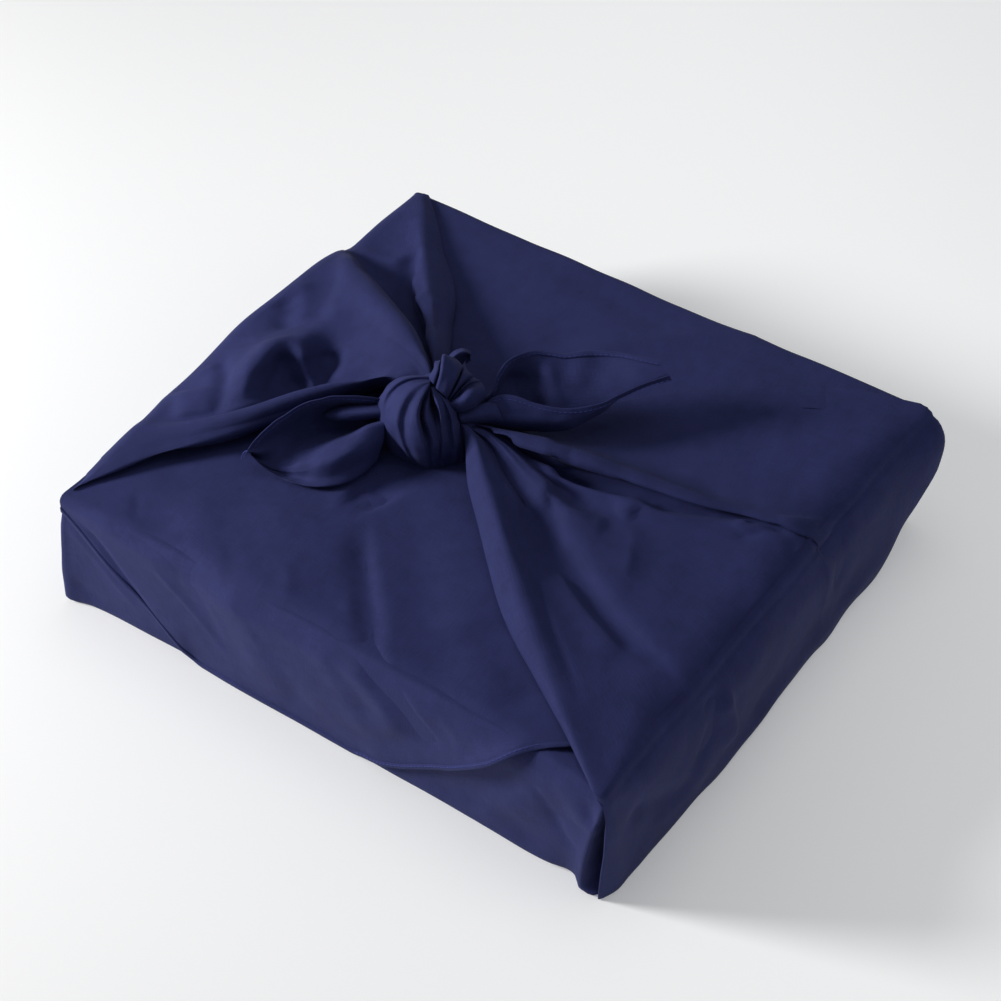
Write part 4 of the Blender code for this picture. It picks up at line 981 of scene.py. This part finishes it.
# The two free ends: lines from the knot to the tip, from the upper hem round to the other one
leftTail = (
    ("hem", (-53, -16.4, 102.3), (-58.8, -21.5, 105.9), (-64.6, -27.5, 108.6), (-71.2, -33.7, 110.4),
        (-77.8, -40, 110.6), (-85.5, -48.4, 108.5), (-90, -56.1, 105.8), (-94.8, -66.7, 101.4),
        (-98.1, -75.1, 95.8), (-99.2, -78.4, 92.5)),
    ("hem foot", (-53.4, -16.2, 99.9), (-59.9, -21.8, 102.1), (-66.4, -27.3, 104.2), (-73.3, -33.1, 105.7),
        (-79.9, -39.4, 106), (-86.4, -47, 103.8), (-90.5, -54.6, 101.3), (-94.9, -65.6, 98.4),
        (-97.6, -74.4, 94.5), (-99.1, -78.5, 92.4)),
    ("hollow side", (-55, -15.2, 96.1), (-62.3, -20.8, 97.2), (-71.5, -26.4, 96.7), (-81.6, -33.6, 95.4),
        (-88.2, -41.9, 94.1), (-92, -51.8, 92.7), (-94.8, -63.8, 92.1), (-96.6, -73.5, 92.2),
        (-99, -78.6, 92.3)),
    ("hollow", (-55.6, -16.4, 92.6), (-63.5, -22.1, 91.3), (-72.9, -28.8, 88.6), (-81.3, -36.5, 87.3),
        (-87.2, -44.8, 87), (-90.1, -54.9, 87.7), (-92.3, -65.7, 88.7), (-94.8, -74.3, 90),
        (-98.9, -78.6, 92.1)),
    ("hollow rise", (-55, -20.5, 93.2), (-61.2, -26.7, 91.9), (-67.3, -33.3, 88.8), (-72.2, -41.2, 88.1),
        (-76.6, -48.8, 88.2), (-82, -57.6, 87.2), (-88.3, -66.2, 85.3), (-94.5, -73, 84.8),
        (-101.8, -75.6, 87.8)),
    ("lip", (-51.7, -27.5, 99.7), (-55.2, -36.9, 100.6), (-57.8, -44.5, 98.9), (-61.2, -49.3, 97),
        (-65.5, -53.8, 94.7), (-70, -58.3, 90.9), (-76.5, -63.7, 86.3), (-83, -68.9, 83.3),
        (-91.9, -74.1, 83.3), (-101.6, -75.7, 87.6)),
    ("lip front", (-49.3, -29.8, 100.7), (-52.9, -39.1, 101.1), (-55.5, -46.6, 99.4), (-58.7, -52.4, 98),
        (-62.7, -57.2, 95.8), (-68, -62.3, 92.1), (-74.9, -66.4, 87.2), (-82.5, -70.3, 83.3),
        (-91.5, -74.5, 83.1), (-101.5, -75.7, 87.6)),
    ("belly", (-46.4, -33.9, 95.8), (-48.5, -44.3, 97.2), (-52, -52.9, 97.3), (-56.6, -59.3, 95.6),
        (-62.5, -64.3, 92.2), (-69.8, -67.9, 87.1), (-79.4, -71, 82.7), (-90.1, -74.7, 83),
        (-101.4, -75.7, 87.5)),
    ("low belly", (-46.4, -37.9, 88.4), (-47.7, -47.7, 88.4), (-51, -56.7, 88.2), (-55.8, -62.9, 86.6),
        (-62.2, -67.9, 85), (-70.7, -70.5, 82.3), (-79.9, -72.2, 80.7), (-90.4, -75.2, 82.5),
        (-101.3, -75.7, 87.5)),
    ("under hem", (-47.5, -40.3, 82.6), (-47.8, -51.5, 82.6), (-49.6, -58.9, 82.7), (-53.3, -64.9, 82.6),
        (-60.9, -71.5, 82.6), (-71, -75.7, 82.6), (-81.9, -76.7, 82.6), (-90.3, -78.6, 86.7),
        (-98.2, -78.8, 91.6)),
    ("sole", (-49.8, -39, 81.7), (-51.3, -48.8, 81.6), (-54, -55.9, 81.6), (-58.4, -62.5, 81.6),
        (-64.8, -69.1, 81.6), (-73.3, -73.7, 81.7), (-83.2, -75.6, 81.6), (-90.6, -78.3, 86.4),
        (-98.2, -78.8, 91.5)),
)
leftTongue = (
    ("back", (-53.2, -16.1, 102.7), (-59, -21.2, 102.1), (-66.9, -26.1, 101.3), (-75, -30.7, 99.5),
        (-80.9, -35.1, 96.6), (-84.8, -37.2, 93)),
    ("top", (-51.2, -18.7, 103.6), (-56.6, -24.2, 103.9), (-64, -29.6, 103.8), (-72.1, -34.2, 102),
        (-78.2, -37.5, 98.8), (-83.7, -37.7, 93.5)),
    ("face", (-48.6, -22.2, 103.6), (-54.3, -27.2, 104.3), (-61.7, -32.5, 103.8), (-69.4, -36.8, 102),
        (-76.3, -39, 98.6), (-82.9, -37.9, 93.5)),
    ("low", (-48, -23.1, 101.1), (-53.8, -27.9, 102.1), (-61.3, -33.2, 101.1), (-68.5, -37.4, 99.4),
        (-75.3, -38.9, 96.7), (-82.4, -37.8, 92.6)),
    ("foot", (-50.7, -20.1, 95.2), (-57, -24.4, 95.5), (-64.6, -29.7, 94.3), (-71.6, -34.1, 93.5),
        (-77.6, -36.4, 92.3), (-82.8, -36.7, 90.9)),
)
rightTail = (
    ("top", (-17.6, 7.5, 102.1), (-12.9, 13.4, 108.3), (-14.2, 18.7, 113.3), (-14.4, 25.2, 117.2),
        (-12.1, 32.7, 119), (-8.2, 40.3, 118.6), (-2.2, 46.9, 116.1), (4.8, 51.1, 115.4), (11.8, 56.2, 116.8),
        (20, 62.4, 116.9), (29.5, 66.4, 117.4), (42, 68.7, 119), (50.5, 71.4, 119)),
    ("upper back", (-18.5, 10.4, 99.4), (-13.4, 15.8, 104.9), (-14.1, 22, 108.8), (-13.9, 29.7, 112.1),
        (-11.4, 35.1, 114.2), (-6.2, 40.1, 115.9), (0, 44.6, 114.4), (6.5, 48.7, 113.3), (13.8, 53.5, 114.2),
        (22.1, 59.4, 114), (31.8, 63.1, 115.5), (42.9, 66.4, 117.4), (52.5, 70.1, 117.6)),
    ("middle back", (-18.8, 12.5, 96.9), (-13.7, 16.9, 101.8), (-14.2, 23.8, 103.3), (-13.6, 31, 103),
        (-8.8, 34.8, 104.7), (-0.4, 36.2, 108), (6.1, 37.7, 109.6), (10.8, 41.5, 108.5), (17.5, 46.3, 108.4),
        (26.4, 53, 109.3), (35.5, 57.7, 111.9), (44.5, 62.2, 114.5), (54.5, 69, 116.7)),
    ("lower back", (-18.6, 12.1, 95.2), (-13.3, 16.3, 98.3), (-10.4, 21.1, 97.6), (-6.3, 25.8, 96.1),
        (1.4, 27.3, 97), (10, 27.5, 99.2), (15.6, 29.3, 100.2), (21.4, 33.4, 99.4), (27.8, 39.3, 99.7),
        (34, 45.5, 101.7), (40.4, 52.3, 106.8), (48, 58.9, 111.2), (56.5, 68.7, 115.9)),
    ("keel", (-17.7, 9.2, 95.1), (-12.7, 12.7, 95.1), (-7.7, 16.3, 93.6), (-1.1, 19.2, 92.1),
        (6.9, 21.3, 91.9), (14.7, 23.4, 93.1), (21, 26.9, 93.7), (26.1, 31.9, 94.7), (31.3, 38.7, 97.1),
        (36.3, 45.8, 100.6), (42, 52.5, 106.1), (49.3, 59.7, 111), (57.8, 68.6, 115.3)),
    ("sole", (-16.7, 2.7, 97.8), (-11.6, 5.1, 95.3), (-5.9, 7.5, 92.6), (0.5, 11.7, 90.7), (7.5, 16, 90.1),
        (15.9, 19.9, 91.1), (22, 23.6, 91.9), (26.8, 28.2, 92.8), (31.5, 34.8, 95.3), (36.5, 41.9, 99.5),
        (42.1, 50.6, 105.9), (49.6, 59.2, 111.2), (58.4, 68.6, 115.1)),
    ("belly", (-14.9, 0.4, 103.4), (-9.6, 2.5, 102.6), (-3.6, 4.5, 101.4), (3.2, 8, 101), (10.2, 12.1, 100.9),
        (17, 16.5, 100.4), (23.1, 21, 100.5), (28.2, 26, 100.8), (33.2, 32.2, 102.1), (37.9, 39.6, 104.5),
        (42.8, 48.6, 108.1), (50, 58.5, 112.1), (58.5, 68.5, 115.1)),
    ("upper belly", (-14.7, 3.6, 104.4), (-11.1, 6.4, 106), (-6, 8, 107.1), (0.6, 10.1, 107),
        (8, 13.6, 106.1), (15.1, 17.5, 105.2), (21.3, 21.8, 104.4), (27.2, 26.6, 104.2), (32.8, 32.7, 105),
        (37.8, 39.6, 106.4), (42.5, 48.1, 109), (50, 58.4, 112.3), (58.5, 68.5, 115.1)),
    ("hem", (-14.8, 5.4, 103.1), (-12.6, 7.6, 105.7), (-9.5, 10.4, 108.9), (-5, 12.8, 111),
        (1.4, 15.2, 111.3), (9.3, 17.8, 109.4), (17.2, 21.5, 107.8), (24.7, 26.5, 106.7), (32.3, 33.3, 106.8),
        (38.3, 40.6, 107.7), (42.1, 47.7, 109.6), (50, 58.5, 112.6), (58.4, 68.5, 115.3)),
)
rightNeck = (
    ("neck back", (-24.1, -0.8, 102.2), (-19.1, 2.8, 103.5), (-14.8, 7.2, 104.5), (-10, 11, 104.8)),
    ("neck top", (-20.6, -5.4, 104.8), (-15.2, -1.6, 106.9), (-10.4, 2.9, 107.7), (-5.7, 7.6, 107.2)),
    ("neck face", (-17.2, -8.4, 104.8), (-12, -4.4, 106.3), (-6.8, 0.4, 106.4), (-1.8, 5.5, 104.7)),
    ("neck low", (-16.3, -8.1, 101.6), (-11, -4.1, 103.1), (-5.7, 0.5, 102.3), (0.4, 5.8, 100.1)),
    ("neck foot", (-17.9, -4.4, 95.7), (-12.9, -0.1, 96.2), (-6.8, 4.5, 94.9), (-0.4, 9.5, 92.3)),
)


# The tails' hems are turned back like the flap's, and the thread shows on both sides of the cloth
tailCloth = dict(spacing=1.05, ruffle=(12, 0.22), turned=((0.3, 0.3), (0, 0.7), (-2.0, 0.7), (-3.0, 0.5)),
                 threads=((-2.3, 0.85), (-2.3, -0.15)))


def dressTail(bolt, tail, seed, middle, hems=(0, -1), steps=78):
    # Lays a free end over its lines, with a narrow hem turned back at the edges named.
    lines = np.array([evenLine(row[1:], steps) for row in tail])
    grid = ruffle(loftLines(lines, tailCloth["spacing"]), *tailCloth["ruffle"], seed)
    inward = -gridNormals(grid) * facing(grid, middle)
    strips, stitched = {}, []
    for end in hems:
        row, before, turn = (grid[0], grid[3], inward[0]) if end == 0 else (grid[-1], grid[-4], inward[-1])
        strips[end] = np.array(alongEdge(row, before, turn, tailCloth["turned"]))
        stitched += [line[3:-2] for line in alongEdge(row, before, turn, tailCloth["threads"])]
    if 0 in strips:
        grid = np.concatenate([strips[0][::-1], grid])
    if -1 in strips:
        grid = np.concatenate([grid, strips[-1]])
    bolt.add(grid, middle)
    return stitched


hemThread = dict(pitch=2.6, length=1.75, thickness=0.34, seed=7, looseRadius=0.13, looseRings=9, looseSides=5)
# The ends of thread that hang from the left tip
looseTip = (-99.2, -78.4, 92.4)
looseEnds = (
    (looseTip, (-100.6, -79.6, 91.4), (-101.2, -80.8, 89.8), (-101.2, -82, 87.8)),
    (looseTip, (-99.8, -80, 91.2), (-99.6, -81.4, 89.4)),
    (looseTip, (-101, -78.8, 91.2), (-102.2, -79.6, 89.4)),
)


def stitchTree():
    # Short lengths of thread, set out along a line.
    tree, given, made = groupOf("running stitch", "GeometryNodeTree",
                                {"Geometry": "Geometry", "Pitch": "Float", "Length": "Float",
                                 "Thickness": "Float", "Seed": "Int", "Thread": "Material"},
                                {"Geometry": "Geometry"})
    path = addNode(tree, "GeometryNodeMeshToCurve", {"Mesh": given["Geometry"]})
    spaced = addNode(tree, "GeometryNodeResampleCurve", {"Curve": path.outputs["Curve"]}, mode="LENGTH")
    plug(spaced, {"Length": given["Pitch"]})
    tangent = addNode(tree, "GeometryNodeInputTangent")
    align = addNode(tree, "FunctionNodeAlignRotationToVector", {"Vector": tangent.outputs["Tangent"]},
                    axis="Z")
    half = addNode(tree, "ShaderNodeMath", {0: given["Thickness"], 1: 0.5}, operation="MULTIPLY")
    stitch = addNode(tree, "GeometryNodeMeshCylinder", {"Vertices": 6, "Radius": half.outputs[0],
                                                        "Depth": given["Length"]})
    uneven = addNode(tree, "FunctionNodeRandomValue", {2: 0.85, 3: 1.12, "Seed": given["Seed"]},
                     data_type="FLOAT")
    sewn = addNode(tree, "GeometryNodeInstanceOnPoints", {
        "Points": spaced.outputs["Curve"], "Instance": stitch.outputs["Mesh"],
        "Rotation": align.outputs["Rotation"], "Scale": uneven.outputs[1]})
    real = addNode(tree, "GeometryNodeRealizeInstances", {"Geometry": sewn.outputs["Instances"]})
    dyed = addNode(tree, "GeometryNodeSetMaterial", {"Geometry": real.outputs["Geometry"],
                                                     "Material": given["Thread"]})
    plug(made, {"Geometry": dyed.outputs["Geometry"]})
    return tree


def addLooseEnds(mesh):
    # Small tubes with closed ends, added to the mesh of the stitches.
    bm = bmesh.new()
    bm.from_mesh(mesh)
    radius, count, sides = hemThread["looseRadius"], hemThread["looseRings"], hemThread["looseSides"]
    for end in looseEnds:
        spine = evenLine(end, count)
        rings = []
        for k, place in enumerate(spine):
            axis = unit(spine[min(k + 1, count - 1)] - spine[max(k - 1, 0)])
            sideWay = unit(np.cross(axis, (0, 0, 1)))
            upWay = np.cross(axis, sideWay)
            rings.append([bm.verts.new((place + radius * (sideWay * math.cos(a) + upWay * math.sin(a))) * mm)
                          for a in np.linspace(0, 2 * math.pi, sides, endpoint=False)])
        for near, far in zip(rings[:-1], rings[1:]):
            for k in range(sides):
                bm.faces.new((near[k], far[k], far[(k + 1) % sides], near[(k + 1) % sides]))
        bm.faces.new(rings[-1])
        bm.faces.new(rings[0][::-1])
    bmesh.ops.recalc_face_normals(bm, faces=bm.faces)
    bm.to_mesh(mesh)
    bm.free()


def sewHems(paths, material):
    # The stitches along the hems: short lengths of thread on the lines given.
    points, edges = [], []
    for path in paths:
        edges += [(len(points) + k, len(points) + k + 1) for k in range(len(path) - 1)]
        points += (path * mm).tolist()
    line = bpy.data.meshes.new("hem path")
    line.from_pydata(points, edges, [])
    guide = bpy.data.objects.new("hem path", line)
    bpy.context.scene.collection.objects.link(guide)
    tree = stitchTree()
    sewn = guide.modifiers.new("stitches", "NODES")
    sewn.node_group = tree
    values = {"Pitch": hemThread["pitch"] * mm, "Length": hemThread["length"] * mm,
              "Thickness": hemThread["thickness"] * mm, "Seed": hemThread["seed"], "Thread": material}
    for item in tree.interface.items_tree:
        if item.item_type == "SOCKET" and item.in_out == "INPUT" and item.name in values:
            sewn[item.identifier] = values[item.name]
    bpy.context.view_layer.update()
    mesh = bpy.data.meshes.new_from_object(guide.evaluated_get(bpy.context.evaluated_depsgraph_get()))
    bpy.data.objects.remove(guide)
    addLooseEnds(mesh)
    mesh.name = "hemThread"
    mesh.materials.clear()
    mesh.materials.append(material)
    obj = bpy.data.objects.new("hemThread", mesh)
    bpy.context.scene.collection.objects.link(obj)
    return obj


weaveTree, handledTree = plainWeave(), handledCloth()
cotton = cottonMaterial("navy cotton", weaveTree, handledTree)
thread = cottonMaterial("navy thread", weaveTree, handledTree, 2.4)
bolt = Bolt()
layUnderLayer(bolt)
hemPaths = layFarFlap(bolt)
dressTie(bolt, rightTie, rightTieFolds)
dressTie(bolt, leftTie, leftTieFolds)
hemPaths += dressTail(bolt, leftTail, 31, (-74, -50, 30), hems=(0,))
hemPaths += dressTail(bolt, rightTail, 32, (14, 28, 112))
dressTail(bolt, leftTongue, 33, (-60, -20, 60), hems=(), steps=40)
dressTail(bolt, rightNeck, 34, (-20, 10, 80), hems=(), steps=40)
wrap = bolt.make("wrapCloth", cotton)
print("wrap", len(wrap.data.polygons), "faces")

knotBolt = Bolt()
for lobe in knotLobes:
    gatherLobe(knotBolt, lobe)
for seed, cover in enumerate(knotWraps, 41):
    wrapKnot(knotBolt, cover, seed)
knot = knotBolt.make("knotCloth", cotton)
print("knot of", ", ".join(part["name"] for part in knotLobes + knotWraps), len(knot.data.polygons), "faces")

sewing = sewHems(hemPaths, thread)
print("stitches", len(sewing.data.polygons), "faces")

for piece in (wrap, knot, sewing):
    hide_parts("furoshiki")
    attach(piece, "root")


studio = dict(floorSize=6.0, floorColour=(0.86, 0.86, 0.86, 1), skyStrength=0.24,
              # The paper glows, painted light in place of the room's light falling on it, more and more along
              # this way
              glowWay=(0.76, 0.65, 0), glowFrom=-0.4, glowTo=0.3, glowLeast=0.02, glowMost=0.28)
bpy.context.scene.view_settings.view_transform = "Standard"
bpy.ops.mesh.primitive_plane_add(size=studio["floorSize"], location=(0, 0, 0))
floor = bpy.context.object
floor.name = "table"
paper = bpy.data.materials.new("pale table")
paper.use_nodes = True
paperTree = paper.node_tree
paperPlace = addNode(paperTree, "ShaderNodeTexCoord").outputs["Object"]
paperWay = addNode(paperTree, "ShaderNodeVectorMath", {0: paperPlace, 1: studio["glowWay"]},
                   operation="DOT_PRODUCT")
# Painted light: the paper's glow, from the least to the most along the way given
paperPaintedLight = addNode(paperTree, "ShaderNodeMapRange", {
    "Value": paperWay.outputs["Value"], "From Min": studio["glowFrom"], "From Max": studio["glowTo"],
    "To Min": studio["glowLeast"], "To Max": studio["glowMost"]}, interpolation_type="SMOOTHSTEP")
plug(paperTree.nodes["Principled BSDF"], {
    "Base Color": studio["floorColour"], "Roughness": 0.9, "Emission Color": (0.98, 0.99, 1.0, 1),
    "Emission Strength": paperPaintedLight.outputs["Result"]})
floor.data.materials.append(paper)

world = bpy.data.worlds.new("studio")
bpy.context.scene.world = world
world.use_nodes = True
plug(world.node_tree.nodes["Background"], {"Color": (0.96, 0.98, 1.0, 1), "Strength": studio["skyStrength"]})


def softbox(name, place, size, power):
    # A round lamp that looks at the parcel.
    lamp = bpy.data.lights.new(name, "AREA")
    lamp.shape = "DISK"
    lamp.size = size
    lamp.energy = power
    obj = bpy.data.objects.new(name, lamp)
    obj.location = place
    obj.rotation_euler = (Vector((0, 0, 0.05)) - Vector(place)).to_track_quat("-Z", "Y").to_euler()
    bpy.context.scene.collection.objects.link(obj)


softbox("window", (-1.15, -0.75, 0.68), 0.4, 25.5)
softbox("ceiling", (0.0, 0.2, 1.6), 1.2, 3)
softbox("right wall", (1.25, 0.35, 0.85), 0.9, 1.2)

view = dict(azimuth=36.18, elevation=45.42, roll=-1.02, distance=1.177, aim=(-0.0101, 0.0152, 0.03),
            lens=79.5)
azimuth, elevation = math.radians(view["azimuth"]), math.radians(view["elevation"])
back = Vector((math.sin(azimuth) * math.cos(elevation), -math.cos(azimuth) * math.cos(elevation),
               math.sin(elevation)))
cameraData = bpy.data.cameras.new("camera")
cameraData.lens = view["lens"]
cameraData.sensor_width = 36
camera = bpy.data.objects.new("camera", cameraData)
camera.location = Vector(view["aim"]) + back * view["distance"]
turn = (-back).to_track_quat("-Z", "Y") @ Quaternion((0, 0, 1), math.radians(view["roll"]))
camera.rotation_euler = turn.to_euler()
bpy.context.scene.collection.objects.link(camera)
bpy.context.scene.camera = camera
